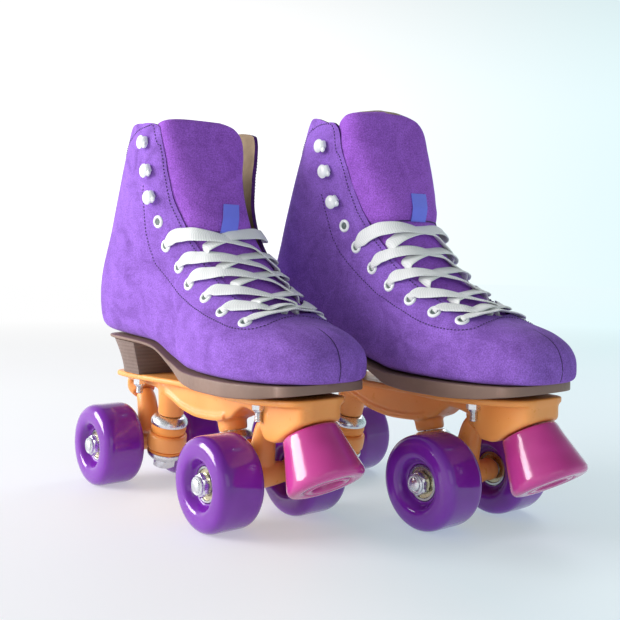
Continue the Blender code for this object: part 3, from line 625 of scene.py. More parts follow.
class Finish(Nodes):
    """A Principled material; every texture reads the object's own coordinates."""

    def __init__(self, name, colour, roughness, metallic=0.0, **settings):
        self.material = bpy.data.materials.new(name)
        self.material.use_nodes = True
        super().__init__(self.material.node_tree)
        self.shader = self.tree.nodes["Principled BSDF"]
        basics = {"Base_Color": rgba(colour), "Roughness": roughness, "Metallic": metallic}
        for socket, value in {**basics, **settings}.items():
            self.shader.inputs[socket.replace("_", " ")].default_value = value
        self.coords = self.node("TexCoord").outputs["Object"]
        self.bump_out = None

    def noise(self, size, detail=2.0, stretch=(1, 1, 1), turn=(0, 0, 0), distortion=0.0):
        """Noise with features of about this size in millimetres."""
        vector = self.node("Mapping", Vector=self.coords, Scale=stretch, Rotation=turn).outputs["Vector"]
        scale = 1.0 / (size * MM)
        node = self.node("TexNoise", Vector=vector, Scale=scale, Detail=detail, Distortion=distortion)
        return node.outputs["Fac"]

    def colour(self, socket):
        self.give(self.shader.inputs["Base Color"], socket)

    def rough(self, socket):
        self.give(self.shader.inputs["Roughness"], socket)

    def bump(self, height, depth, strength=1.0):
        """Adds relief of this depth in millimetres."""
        node = self.node("Bump", Height=height, Distance=depth * MM, Strength=strength)
        if self.bump_out is not None:
            self.give(node.inputs["Normal"], self.bump_out)
        self.bump_out = node.outputs["Normal"]
        self.give(self.shader.inputs["Normal"], self.bump_out)


def suede(name, dark, light, tint):
    m = Finish(
        name, light, 0.92, Sheen_Weight=0.12, Sheen_Roughness=0.35, Sheen_Tint=rgba(tint),
        Specular_IOR_Level=0.12,
    )
    brushed = m.noise(26, 3.0, distortion=1.6)
    streaks = m.noise(9, 2.0, (1.0, 0.45, 1.7), (0.5, 0.2, 0.3), 0.8)
    grain = m.noise(0.8, 3.0)
    broad = m.ramp(brushed, dark, light, (0.36, 0.64))
    patch = m.mix(m.ramp(streaks, 0.0, 0.55, (0.35, 0.7)), broad, light)
    m.colour(m.mix(1.0, patch, m.ramp(grain, 0.62, 1.12), "MULTIPLY"))
    m.bump(grain, 0.16)
    m.bump(m.noise(2.6), 0.22, 0.7)
    return m.material


def moulded_plastic(name, colour, deep, roughness, **settings):
    m = Finish(name, colour, roughness, **settings)
    m.colour(m.ramp(m.noise(34), deep, colour, (0.25, 0.62)))
    m.rough(m.ramp(m.noise(5, 3.0), roughness * 0.8, roughness * 1.45, (0.3, 0.75)))
    m.bump(m.noise(1.4), 0.03)
    return m.material


def cast_urethane(name, colour, deep, roughness, **settings):
    m = Finish(name, colour, roughness, Coat_Weight=0.35, Coat_Roughness=0.06, **settings)
    m.colour(m.ramp(m.noise(18, 1.0), deep, colour, (0.3, 0.6)))
    m.rough(m.ramp(m.noise(1.2, 4.0, (1.0, 6.0, 1.0)), roughness, roughness + 0.16, (0.55, 0.8)))
    m.bump(m.noise(7, 1.0), 0.05)
    return m.material


def metal(name, colour, roughness):
    m = Finish(name, colour, roughness, 1.0)
    m.colour(m.ramp(m.noise(2.2, 3.0), [c * 0.92 for c in colour], colour, (0.3, 0.6)))
    m.rough(m.ramp(m.noise(0.7, 3.0), roughness * 0.75, roughness * 1.5))
    m.bump(m.noise(0.7), 0.015)
    return m.material


def woven(name, colour, deep, pitch, depth):
    """A narrow tape in a chevron weave, from its own UV: U along it and V across it, both in millimetres."""
    m = Finish(name, colour, 0.85, Sheen_Weight=0.25, Specular_IOR_Level=0.2)
    uv = m.node("SeparateXYZ", Vector=m.node("UVMap").outputs["UV"]).outputs
    fold = m.calc("Math", "ABSOLUTE", uv["Y"])
    slant = m.calc("Math", "MULTIPLY", m.calc("Math", "ADD", uv["X"], fold), 2 * math.pi / pitch)
    columns = m.calc("Math", "MULTIPLY", uv["Y"], 2 * math.pi / (pitch * 0.8))
    weave = m.calc("Math", "MULTIPLY", m.calc("Math", "SINE", slant), m.calc("Math", "COSINE", columns))
    height = m.calc("Math", "ADD", m.calc("Math", "MULTIPLY", weave, 0.5), 0.5)
    # Painted shade: the weave's low places get the darker colour
    m.colour(m.ramp(height, deep, colour, (0.0, 0.55)))
    m.bump(height, depth)
    m.bump(m.noise(0.35), 0.03)
    return m.material


def lining_leather():
    # Tan leather, partly its own colour and partly painted shade: darkened to stand in for the shade inside
    # the boot
    m = Finish("tan_lining_painted_shade", (0.34, 0.23, 0.14), 0.75)
    m.colour(m.ramp(m.noise(14, 3.0), (0.22, 0.145, 0.085), (0.36, 0.25, 0.155)))
    m.bump(m.node("TexVoronoi", Vector=m.coords, Scale=900.0).outputs["Distance"], 0.12)
    return m.material


def sole_rubber(name, colour, deep, layers):
    """Satin sole material; layers draws the thin seams of a stacked heel."""
    m = Finish(name, colour, 0.5, Specular_IOR_Level=0.35)
    shade = m.ramp(m.noise(22, 3.0), deep, colour)
    if layers:
        seam_pitch, wander = 2.6 * MM, 0.7 * MM
        z = m.node("SeparateXYZ", Vector=m.coords).outputs["Z"]
        height = m.calc("Math", "ADD", z, m.calc("Math", "MULTIPLY", m.noise(12), wander))
        wave = m.calc("Math", "SINE", m.calc("Math", "MULTIPLY", height, 2 * math.pi / seam_pitch))
        shade = m.mix(1.0, shade, m.ramp(wave, (0.90, 0.89, 0.88), 1.0, (0.0, 0.3)), "MULTIPLY")
        m.bump(wave, 0.05)
    m.colour(shade)
    m.rough(m.ramp(m.noise(3, 3.0), 0.42, 0.62))
    m.bump(m.noise(0.9, 3.0), 0.04)
    return m.material


def mottled(name, colour, roughness, size, deep, light, relief=None, **settings):
    """A plain finish that wanders between two colours; relief is the (size, depth) of its unevenness."""
    m = Finish(name, colour, roughness, **settings)
    m.colour(m.ramp(m.noise(size), deep, light))
    if relief:
        m.bump(m.noise(relief[0]), relief[1])
    return m.material


SUEDE = suede("purple_suede", (0.225, 0.098, 0.450), (0.325, 0.150, 0.640), (0.75, 0.60, 1.0))
# Painted light: the tongue's suede is a lighter copy of the upper's suede, standing in for the light that
# falls on the tongue
LIT_TONGUE_SUEDE = suede("tongue_suede_painted_light", (0.310, 0.102, 0.560), (0.400, 0.138, 0.710), (0.70, 0.50, 0.95))
EDGE = suede("cut_edge", (0.060, 0.015, 0.120), (0.110, 0.030, 0.210), (0.5, 0.4, 0.7))
SHADED_LINING = lining_leather()
THREAD = mottled(
    "dark_thread", (0.045, 0.010, 0.110), 0.6, 1.5, (0.030, 0.008, 0.080), (0.070, 0.020, 0.150), (0.3, 0.08)
)
# The second colour of each tape is the painted shade of its weave's hollows
LACE = woven("white_lace", (0.92, 0.93, 0.91), (0.70, 0.72, 0.72), 1.5, 0.22)
LABEL = woven("blue_label", (0.200, 0.235, 0.950), (0.160, 0.185, 0.800), 0.7, 0.05)
SOLE = sole_rubber("sole_band", (0.260, 0.165, 0.128), (0.205, 0.128, 0.098), False)
HEEL = sole_rubber("stacked_heel", (0.235, 0.165, 0.140), (0.185, 0.125, 0.102), True)
NYLON = moulded_plastic(
    "orange_nylon_moulding", (0.95, 0.39, 0.105), (0.88, 0.33, 0.075), 0.33, Subsurface_Weight=0.12,
    Subsurface_Radius=(1.0, 0.45, 0.15), Subsurface_Scale=0.004,
)
CUSHION = moulded_plastic("cushion_urethane", (0.95, 0.36, 0.07), (0.88, 0.30, 0.05), 0.42)
URETHANE = cast_urethane(
    "wheel_urethane", (0.190, 0.018, 0.380), (0.160, 0.014, 0.320), 0.13, Subsurface_Weight=0.04,
    Subsurface_Radius=(0.5, 0.1, 1.0), Subsurface_Scale=0.003,
)
STOPPER = cast_urethane(
    "stopper_rubber", (0.56, 0.050, 0.290), (0.49, 0.040, 0.250), 0.17, Subsurface_Weight=0.15,
    Subsurface_Radius=(1.0, 0.25, 0.5), Subsurface_Scale=0.005,
)
ZINC = metal("zinc_plate", (0.78, 0.80, 0.82), 0.24)
SHIELD = metal("bearing_shield", (0.66, 0.60, 0.38), 0.22)
STEEL = metal("bearing_steel", (0.55, 0.56, 0.55), 0.18)
ENAMEL = mottled(
    "white_enamel", (0.90, 0.92, 0.92), 0.22, 3.0, (0.84, 0.87, 0.87), (0.93, 0.94, 0.94), (1.5, 0.03),
    Coat_Weight=0.5, Coat_Roughness=0.1,
)
# Painted shade: the dark colour of the disc that fills each eyelet's hole
HOLE_SHADE = mottled("eyelet_hole_painted_shade", (0.10, 0.14, 0.13), 0.6, 1.0, (0.05, 0.07, 0.07), (0.16, 0.21, 0.19))


# --- boot -------------------------------------------------------------------------------------------


def toe_seam_depth(points):
    """How far the seam down the toe draws the suede in, in millimetres."""
    reach = ease((points[..., 1] + 118.0) / -10.0)
    return 0.75 * np.exp(-(((points[..., 0] - TOE_X) / 0.75) ** 2)) * reach


def add_upper(skate):
    share = np.linspace(0, 1, 221)
    share = share - 0.8 * np.sin(2 * np.pi * share) / (2 * np.pi)
    centre, tip = middle_of(0.0), skin(0.0, 360.0 * share)
    rows = []
    for k in range(9, 0, -1):
        turn = math.pi / 2 * k / 9.5
        row = centre + (tip - centre) * math.cos(turn)
        row[:, 1] -= TIP_DEPTH * math.sin(turn) ** 2
        rows.append(row)
    bend = THROAT_START + 0.4
    low, middle = np.linspace(0, THROAT_START, 44)[:-1], np.linspace(THROAT_START, bend, 12)[:-1]
    for at in np.concatenate([low, middle, np.linspace(bend, RIM_START, 96)]):
        edge = float(skate.throat(at))
        rows.append(skate.skin(at, edge + (360.0 - 2 * edge) * share))
    rise = skate.rim(edge + (360.0 - 2 * edge) * share) - RIM_START
    for t in np.linspace(0, 1, 46)[1:]:
        at = RIM_START + rise * t
        edge = skate.throat(at)
        rows.append(skate.skin(at, edge + (360.0 - 2 * edge) * share))
    points = np.array(rows)
    inward = unit(np.array([0.0, points[:, :, 1].mean(), TOE_Z]) - points)
    points, faces = grid(points + inward * toe_seam_depth(points)[..., None])
    cap = tuple(range(len(share)))[::-1]
    obj = skate.piece("suede_upper", [(points, faces + [cap], 0)], [SUEDE, SHADED_LINING, EDGE])
    close_up(obj, 0.02)
    solidify(obj, WALL, 1, 2, 0.5)
    skate.finish(obj, "skate", "suede", "upper")


def stitch_row(skate, at, degrees):
    """Stitches along a path on the skin, each a small capsule sunk into it."""
    path = skate.skin(at, degrees, STITCH_LIFT)
    way = distances(path)
    count = int(way[-1] // STITCH_PITCH)
    parts = []
    for k in range(count):
        places = (k + 0.5) * way[-1] / count + STITCH_LENGTH * np.array([-0.5, 0.0, 0.5])
        a, b, c = np.column_stack([np.interp(places, way, path[:, i]) for i in range(3)])
        line = [a, (a + b) / 2, b, (b + c) / 2, c]
        parts.append(tube(line, STITCH_RADIUS * np.array([0.45, 0.9, 1.0, 0.9, 0.45]), 6))
    return parts


def facing_row(sign):
    """Stations and angles of the stitch row round the facing on one side, from the front centre upwards."""
    knots = np.array(STITCH_ROW[sign])
    way = distances(skin(knots[:, 0], knots[:, 1] * sign))
    share = np.linspace(0, way[-1], 220)
    return smooth_through(way, knots[:, 0], share), smooth_through(way, knots[:, 1], share) * sign


def add_stitching(skate):
    """Rows round the facing, up each edge of the throat and round the top edge."""
    outer, inner = np.array(facing_row(-1)), np.array(facing_row(1))
    parts = stitch_row(skate, *np.concatenate([outer[:, :0:-1], inner], 1))
    behind = 110.0
    for sign in (-1, 1):
        at = np.linspace(4.85, 13.7, 240)
        degrees = skate.throat(at) + 4.6
        corner = np.linspace(degrees[-1], behind, 90)[1:]
        blend = ease(np.linspace(0, 1, 89) * 2.4)
        rising = at[-1] * (1 - blend) + (skate.rim(corner) - 0.22) * blend
        parts += stitch_row(skate, np.concatenate([at, rising]), sign * np.concatenate([degrees, corner]))
    round_back = np.linspace(behind, 360.0 - behind, 160)
    parts += stitch_row(skate, skate.rim(round_back) - 0.16, round_back)
    skate.add("stitching", parts, [THREAD], None, "skate", "suede")


def add_toe_seam(skate):
    """Dark closed seam down the middle of the toe and over its tip."""
    line = [skin(at, 0.0) for at in np.linspace(3.1, 0.0, 30)]
    centre = middle_of(0.0)
    for k in range(1, 12):
        turn = math.pi * k / 12
        start = skin(0.0, 0.0 if k < 6 else 180.0)
        line.append(centre + (start - centre) * abs(math.cos(turn)) - [0, TIP_DEPTH * math.sin(turn) ** 2, 0])
    line = np.array([*line, skin(0.0, 180.0)])
    line[:, 0] = TOE_X
    inward = unit(np.array([TOE_X, -100.0, TOE_Z]) - line)
    seam = tube(curve_through((line + inward * 0.62)[::2], 90), 0.34)
    skate.add("toe_seam", [seam], [THREAD], None, "skate", "suede")


def eyelet(skate, at, degrees):
    """Enamelled ring with a dark disc sunk inside it: painted shade standing in for the hole's dark inside.
    """
    point, up, across, out = skin_frame(skate, at, degrees)
    place = axes(point, across, up, out)
    # The disc in the hole is dark: painted shade
    hole = [(0.0, 0.22), (2.4, 0.22), (2.4, -0.8), (0.0, -0.8)]
    return [turned(EYELET_RING, place, 0, 36), turned(hole, place, 1, 24)]


def hook(skate, at, degrees):
    """Speed hook: a riveted foot, a neck on the throat's side, a round domed head above it and a low lobe."""
    point, up, across, out = skin_frame(skate, at, degrees)
    to_throat = across * (-1.0 if degrees > 0 else 1.0)
    side = np.cross(out, to_throat)
    place = axes(point, to_throat, side, out)
    foot = [(0.0, -0.6), (3.3, -0.6), (3.6, 0.0), (3.4, 0.5), (2.2, 0.9), (0.0, 1.0)]
    dome = [(0.0, 2.9), (3.9, 2.9), (4.5, 3.2), (4.7, 3.7), (4.3, 4.3), (3.0, 4.95), (1.4, 5.25), (0.0, 5.3)]
    lobe = [(0.0, 2.2), (1.7, 2.2), (2.0, 2.7), (1.8, 3.4), (1.1, 3.85), (0.0, 4.0)]
    bend = curve_through([(1.6, 0.3), (4.0, 0.5), (5.0, 1.5), (4.9, 2.9), (3.6, 3.8), (1.4, 3.9)], 20)
    neck = []
    for (a, b), width in zip(bend, np.linspace(2.4, 2.1, 20)):
        section = [(a + c * 0.25, width * w, b + d * 0.45) for w, c, d in HOOK_SECTION]
        neck.append([point + to_throat * x + side * y + out * z for x, y, z in section])
    low = axes(point - up * 3.6 + to_throat * 3.2, to_throat, side, out)
    return [turned(foot, place, 0, 36), turned(dome, place, 0, 40), loft(neck), turned(lobe, low, 0, 24)]


def add_eyelets(skate):
    rings, heads = [], []
    for sign, row in ((-1, OUTER_EYELETS), (1, INNER_EYELETS)):
        for at, degrees in (*row, EMPTY_EYELET[sign]):
            rings += eyelet(skate, at, sign * degrees)
        for at, degrees in HOOKS[sign]:
            heads += hook(skate, at, sign * degrees)
    skate.add("eyelets", rings, [ENAMEL, HOLE_SHADE], 50.0, "skate", "lace")
    skate.add("lace_hooks", heads, [ENAMEL], 50.0, "skate", "lace")


def tongue_half(skate, sign, at):
    """Angle of the tongue's edge by station on the outer (-1) or inner (1) side."""
    return table(TONGUE_EDGE[skate.side, sign], at)


def seam_station(skate, degrees):
    return TONGUE_SEAM[skate.side] + (0.35 if skate.mirror else 0.5) * (np.asarray(degrees) / 45.0) ** 2


def tongue_lift(skate, at, degrees):
    """Height of the tongue's outer face over the boot's skin: flat under the laces, padded above the seam."""
    seam, top = seam_station(skate, degrees), TONGUE_EDGE[skate.side, 1][-1][0]
    edge = np.where(np.asarray(degrees) < 0, tongue_half(skate, -1, at), tongue_half(skate, 1, at))
    above = ease((at - seam) / 0.5)
    roll = ease((top - at) / 0.55)
    crown = 1 - np.clip(np.abs(degrees) / np.maximum(edge, 1.0), 0, 1) ** 4
    crease = 1.1 * np.exp(-(((at - seam) / 0.10) ** 2))
    lift = -TONGUE_INSET + 1.0 + 1.3 * crown + above * (1.8 * crown + 0.2) - crease - 1.2 * (1 - roll) ** 2
    sunk = ease((5.0 - at) / 0.5)
    return lift * (1 - sunk) + (-WALL - 0.5) * sunk


def tongue_wobble(points):
    out = np.empty(points.shape[:-1])
    for index in np.ndindex(out.shape):
        p = Vector(points[index])
        out[index] = 0.55 * noise.noise(p / 24.0) + 0.2 * noise.noise(p / 9.0)
    return out


def add_tongue(skate):
    top, middle, rounding = TONGUE_EDGE[skate.side, 1][-1][0], 14.0, 0.15
    last = top - rounding + rounding * np.sin(np.linspace(0, 1, 10) * np.pi / 2)
    stations = [np.linspace(4.0, middle, 165)[:-1], np.linspace(middle, top - rounding, 70)[:-1], last]
    share = np.sin(np.linspace(-1, 1, 71) * np.pi / 2)
    seam = TONGUE_SEAM[skate.side]
    outer, inner = [], []
    for at in np.concatenate(stations):
        low, high = float(tongue_half(skate, -1, at)), float(tongue_half(skate, 1, at))
        deg = np.where(share < 0, share * low, share * high)
        lift = tongue_lift(skate, at, deg)
        wobble = tongue_wobble(skin(at, deg, lift)) * ease((at - seam) / 1.5)
        outer.append(skin(at, deg, lift + wobble))
        inner.append(skin(at, deg * 0.985, np.minimum(lift - 3.4, -TONGUE_INSET - 3.0)))
    front, faces = grid(outer)
    back, _ = grid(inner)
    index = np.arange(len(front)).reshape(len(outer), len(share))
    around = np.concatenate([index[0], index[1:, -1], index[-1, -2::-1], index[-2:0:-1, 0]]).tolist()
    count = len(front)
    edge = [(a, b, b + count, a + count) for a, b in zip(around, around[1:] + around[:1])]
    lining = [tuple(v + count for v in reversed(face)) for face in faces]
    numbers = [0] * len(faces) + [1] * (len(edge) + len(lining))
    parts = [(np.concatenate([front, back]), faces + edge + lining, numbers)]
    obj = skate.piece("padded_tongue", parts, [LIT_TONGUE_SUEDE, SHADED_LINING])
    close_up(obj)
    bevel(obj, 1.0, 50.0)
    bake(obj)
    obj.data.shade_smooth()
    skate.finish(obj, "skate", "tongue_suede", "tongue")
    deg = np.linspace(4 - float(tongue_half(skate, -1, seam)), float(tongue_half(skate, 1, seam)) - 4, 90)
    level = seam_station(skate, deg)
    line = skin(level, deg, tongue_lift(skate, level, deg) + 0.35)
    skate.add("tongue_seam", [tube(line, 0.42, 6)], [THREAD], None, "skate", "tongue_suede")


def add_label(skate):
    """Blank folded tab of ribbon sewn into the tongue's seam."""
    low_x, high_x = LABEL_X[skate.side]
    seam = TONGUE_SEAM[skate.side]
    bottom = skin(seam, 0.0, tongue_lift(skate, seam, 0.0))[2] - 0.5
    tall, wide = 24, 12
    degs = np.linspace(-40, 40, 161)
    rows = []
    for z in np.linspace(bottom, bottom + LABEL_TOP, tall):
        at = np.full(len(degs), np.interp(z, FINE_ROWS[1], FINE))
        for _ in range(3):
            points = skin(at, degs, tongue_lift(skate, at, degs))
            at = at + (z - points[:, 2]) / 12.0
        x = np.linspace(low_x, high_x, wide) + LABEL_LEAN[skate.side] * (z - bottom) / LABEL_TOP
        rows.append(np.column_stack([np.interp(x, points[:, 0], points[:, i]) for i in range(3)]))
    rows = np.array(rows)
    normal = unit(np.cross(rows[1:, :1] - rows[:-1, :1], rows[:-1, -1:] - rows[:-1, :1]).mean((0, 1)))
    normal = -normal if normal[1] > 0 else normal
    up, across = np.linspace(0, 1, tall)[:, None], np.linspace(-1, 1, wide)[None, :]
    bow = 0.5 + 0.42 * np.sin(np.pi * up) + 0.15 * np.sin(across * 2.0 + up * 3.0)
    front = rows + normal * (bow + 0.55)[..., None]
    behind = rows + normal * (bow - 0.25)[..., None]
    fold = front[-1:] * 0.5 + behind[-1:] * 0.5 + [[[0, 0, 0.5]]]
    points, faces = grid(np.concatenate([front, fold, behind[::-1]]), closed_u=True)
    sides = [tuple(range(0, len(points), wide)), tuple(range(wide - 1, len(points), wide))[::-1]]
    obj = skate.piece("tongue_label", [facing_out((points, faces + sides, 0))], [LABEL], 60.0)
    write_uv(obj, np.array([(v.co[0] / MM, v.co[2] / MM) for v in obj.data.vertices]))
    skate.finish(obj, "skate", "tongue_suede")


RIBBON_SECTION = [
    (math.copysign(abs(math.cos(a)) ** 0.6, math.cos(a)), math.copysign(abs(math.sin(a)) ** 0.8, math.sin(a)))
    for a in np.linspace(0, 2 * math.pi, 14, endpoint=False)
]


def ribbon(path, normals, width):
    """A flat woven tape along a path, with rounded edges; width is one number for each point."""
    tangents = unit(np.gradient(path, axis=0))
    across = unit(np.cross(tangents, normals))
    up = np.cross(across, tangents)
    rings = []
    for p, s, n, w in zip(path, across, up, width):
        thick = LACE_THICKNESS / 2 * (1 + 0.5 * (1 - w / width.max()))
        rings.append([p + s * c * w / 2 + n * d * thick for c, d in RIBBON_SECTION])
    return loft(rings)


def lace_strand(skate, row, sign, height):
    """Path, outward directions and share of the strand from one eyelet over the throat to the other side."""
    last = row == len(OUTER_EYELETS) - 1
    near = sign == skate.near
    mine, other = (OUTER_EYELETS, INNER_EYELETS) if sign < 0 else (INNER_EYELETS, OUTER_EYELETS)
    here, there = mine[row], other[row if last else row + 1]
    share = np.linspace(0, 1, 72)
    if last:
        own = here[1] - (here[1] + there[1]) * share
        at = here[0] + (there[0] - here[0]) * share - 0.2 * np.sin(np.pi * share) ** 0.8
    else:
        own = here[1] * (1 - 1.75 * share)
        ways, drops = zip(*(STRAND_NEAR if near else STRAND_FAR))
        drop = smooth_through([-w for w in ways], drops, -own / here[1])
        at = here[0] - STRAND_SCALE[skate.side][row] * drop
        at = np.maximum(at, LOWEST_STRAND - 0.1 * ease(-own / 30.0))
    deg = sign * own
    edge = np.minimum(skate.throat(at), skate.throat(at - 0.35))
    on_top = ease((own + 20.0) / 18.0) if near else ease(own / 20.0)
    crossing = height - (1.9 if near else 0.7) * (1 - on_top)
    over, through, under = 1.35, 0.2, -3.8
    lift = np.full_like(at, over) + (crossing - over) * ease((edge + 10 - np.abs(deg)) / 14)
    start = ease((here[1] - own) / 3.2)
    lift = lift * start + through * (1 - start)
    if last:
        lift = np.where(own < 0, np.maximum(lift, over), lift)
        end = ease((there[1] + own) / 3.2)
        lift = lift * end + through * (1 - end)
    else:
        lift = lift + (under - lift) * ease((-own - (edge - 5.0)) / 6.5)
    outward = unit(skate.skin(at, deg, 1.0) - skate.skin(at, deg, 0.0))
    return skate.skin(at, deg, lift), outward, share


def add_laces(skate):
    """Flat laces: a bar across the toe end, and from every eyelet a strand that dips under the other side."""
    parts = []
    last = len(OUTER_EYELETS) - 1
    rng = np.random.default_rng(11 if skate.mirror else 7)
    for i in range(last + 1):
        for sign in (-1, 1):
            near = sign == skate.near
            if i == last and not near:
                continue
            height = (2.8 if near else 2.1) + rng.uniform(-0.15, 0.15)
            path, outward, share = lace_strand(skate, i, sign, height)
            way = distances(path)
            width = np.full(len(path), LACE_WIDTH + rng.uniform(-0.35, 0.35))
            wide = LACE_IN_EYELET + (width - LACE_IN_EYELET) * ease(way / 9.0)
            if i == last:
                other_end = LACE_IN_EYELET + (width - LACE_IN_EYELET) * ease((way[-1] - way) / 9.0)
                wide = np.minimum(wide, other_end)
            roll = rng.uniform(-0.16, 0.16) * np.sin(share * math.pi * 2 + rng.uniform(0, 6))
            tangent = unit(np.gradient(path, axis=0))
            parts.append(ribbon(path, outward + np.cross(tangent, outward) * roll[:, None], wide))
    obj = skate.piece("flat_laces", parts, [LACE])
    across = np.array([c for c, _ in RIBBON_SECTION]) * LACE_WIDTH / 2
    values = []
    for points, _, _ in parts:
        way = distances(points.reshape(-1, len(across), 3).mean(1))
        values.append(np.stack(np.broadcast_arrays(way[:, None], across[None, :]), -1).reshape(-1, 2))
    write_uv(obj, np.concatenate(values))
    skate.finish(obj, "skate", "lace", "laces")


def bar_ring(y, half_width, low, high, radius, corner=4, shift=0.0):
    """Outline across the skate at y: an upright rectangle with rounded corners."""
    outline = []
    radius = min(radius, (high - low) / 2 - 0.01, half_width - 0.01)
    for cx, cz, start in ((1, 1, 0), (-1, 1, 90), (-1, -1, 180), (1, -1, 270)):
        for k in range(corner + 1):
            a = math.radians(start + 90 * k / corner)
            x = cx * (half_width - radius) + radius * math.cos(a)
            z = (high - radius if cz > 0 else low + radius) + radius * math.sin(a)
            outline.append((x + shift, y, z))
    return outline


def add_sole(skate):
    toe_y, heel_y = -124.0, 98.0
    front = toe_y - 14.6 * np.cos(np.linspace(0.06, 1, 26) * math.pi / 2)
    back = heel_y + 5.0 * np.sin(np.linspace(0, 0.97, 12) * math.pi / 2)
    rings = []
    for y in np.concatenate([front, np.linspace(toe_y, heel_y, 110)[1:-1], back]):
        half = float(table(SOLE_STATIONS, y)) - 0.3
        if y < toe_y:
            half = 30.5 * math.sqrt(max(0.0, 1 - ((toe_y - y) / 14.8) ** 2.3)) + 0.2
        if y > 90.0:
            half = min(half, 24.0 * math.sqrt(max(0.0, 1 - ((y - 88.0) / 15.2) ** 2)) + 0.6)
        low, top = float(table(SOLE_STATIONS, y, 2)), float(table(SOLE_LINE, y)) - 0.1
        rings.append(bar_ring(y, half, low, top, 1.1, 5, float(table(SOLE_LINE, y, 2))))
    skate.add("sole_band", [loft(rings)], [SOLE], 50.0, "skate", "sole", "sole")


def add_heel(skate):
    """Stacked block, wider towards the sole, with a nearly straight breast and a round back."""
    knots, _, lows = zip(*SOLE_STATIONS)
    low = PLATE_TOP + 0.2
    rings = []
    for share in np.linspace(0, 1, 24):
        flare = share**1.5
        rear, half = 85.5 + 13.0 * flare, 23.5 + 4.7 * flare
        turn_y = HEEL_BREAST_Y + 17.0 + 3.0 * flare
        breast = HEEL_BREAST_Y + 1.2 * math.sin(math.pi * share)
        side = [(half - 1.6, breast), (half - 0.5, breast + 0.4), (half, breast + 1.8), (half, turn_y)]
        angles = [math.pi * i / 24 for i in range(1, 24)]
        outline = [(-x, y) for x, y in side]
        outline += [(-half * math.cos(a), turn_y + (rear - turn_y) * math.sin(a)) for a in angles]
        outline += reversed(side)
        tops = [float(np.interp(y, knots, lows)) - 0.2 for _, y in outline]
        rings.append([(x + 0.5, y, low + (top - low) * share) for (x, y), top in zip(outline, tops)])
    skate.add("stacked_heel", [loft(rings)], [HEEL], 35.0, "skate", "heel", "heel")


def add_insole(skate):
    """Footbed inside the boot, seen from above down the shaft."""
    rows = [skin(at, np.linspace(128, 232, 25), -WALL - 1.8) for at in np.linspace(3.0, 11.3, 60)]
    obj = skate.piece("footbed", [(*grid(rows), 0)], [SHADED_LINING])
    solidify(obj, 1.4, 0, 0)
    skate.finish(obj, "skate", "suede")


# --- running gear ---------------------------------------------------------------------------------


def kingpin_frame(end="rear"):
    """Z along the kingpin, up, with its zero at the middle of the hanger's ring."""
    return end_turn(end) @ Matrix.Translation(RING_CENTRE) @ Matrix.Rotation(KINGPIN_TILT, 4, "X")


def stop_frame():
    """Z along the toe stop, out of its floor face, with its zero at the top."""
    return Matrix.Translation(STOP_TOP_CENTRE) @ Matrix.Rotation(math.pi - STOP_TILT, 4, "X")


def end_turn(end):
    return Matrix.Identity(4) if end == "rear" else Matrix.Rotation(math.pi, 4, "Z")


def oval(centre, radius_x, radius_y, direction=(0, 0, 1), sides=32):
    """A fine oval round a point, square to a direction in the YZ plane."""
    across = Vector((1, 0, 0))
    up = across.cross(Vector(direction).normalized())
    angles = [2 * math.pi * i / sides for i in range(sides)]
    return [Vector(centre) + across * radius_x * math.cos(a) + up * radius_y * math.sin(a) for a in angles]


def limb(count, *sections):
    """A closed skin that runs smoothly through ovals: centre, its shift in y and z, half width, half height
    and direction of each.
    """
    rings = [oval(centre + Vector((0, y, z)), *rest) for centre, y, z, *rest in sections]
    rings = np.array([[tuple(p) for p in ring] for ring in rings])
    lines = np.array([curve_through(rings[:, i], count) for i in range(rings.shape[1])])
    return loft(lines.transpose(1, 0, 2))


def plate_top(y):
    return PLATE_TOP + PLATE_TOE_RISE * max(0.0, (-60.0 - y) / 80.0) ** 1.5


def add_plate(skate):
    """Flange under the sole, a body with a raised panel below it, and the seats of both trucks."""
    flange, body, panel = [], [], []
    for y in np.linspace(PLATE_FLANGE[0][0], PLATE_FLANGE[-1][0], 200):
        top = plate_top(y)
        flange.append(bar_ring(y, float(table(PLATE_FLANGE, y)), top - FLANGE_THICKNESS, top, 1.0))
    for y in np.linspace(PLATE_BODY[0][0], PLATE_BODY[-1][0], 200):
        half, low = float(table(PLATE_BODY, y)), float(table(PLATE_BODY, y, 2))
        body.append(bar_ring(y, half, low, plate_top(y) - 2.0, 2.4))
    for y in np.linspace(-46.0, 30.0, 60):
        half, low = float(table(PLATE_BODY, y)) + 1.3, float(table(PLATE_BODY, y, 2))
        panel.append(bar_ring(y, half, low + 0.2, low + 4.6, 1.2))
    boss = [(0.0, 19.9), (8.3, 19.9), (9.3, 20.8), (9.6, 27.0), (12.0, 44.0), (0.0, 44.0)]
    socket = limb(
        20,
        (PIVOT_CENTRE, 0.9, 0.8, 8.4, 7.6, (0, 0.75, 0.66)),
        (PIVOT_CENTRE, 5.0, 5.6, 11.0, 9.5, (0, 0.7, 0.7)),
        (PIVOT_CENTRE, 1.0, 15.0, 12.0, 12.0, (0, -0.1, 1)),
    )
    parts = [loft(flange), loft(body), loft(panel)]
    for end in ("rear", "front"):
        parts += [turned(boss, kingpin_frame(end), 0, 48), turned_about(socket, end_turn(end))]
    skate.finish(moulded(skate, "moulded_plate", parts, 0.9), "skate", "orange_nylon", "plate")


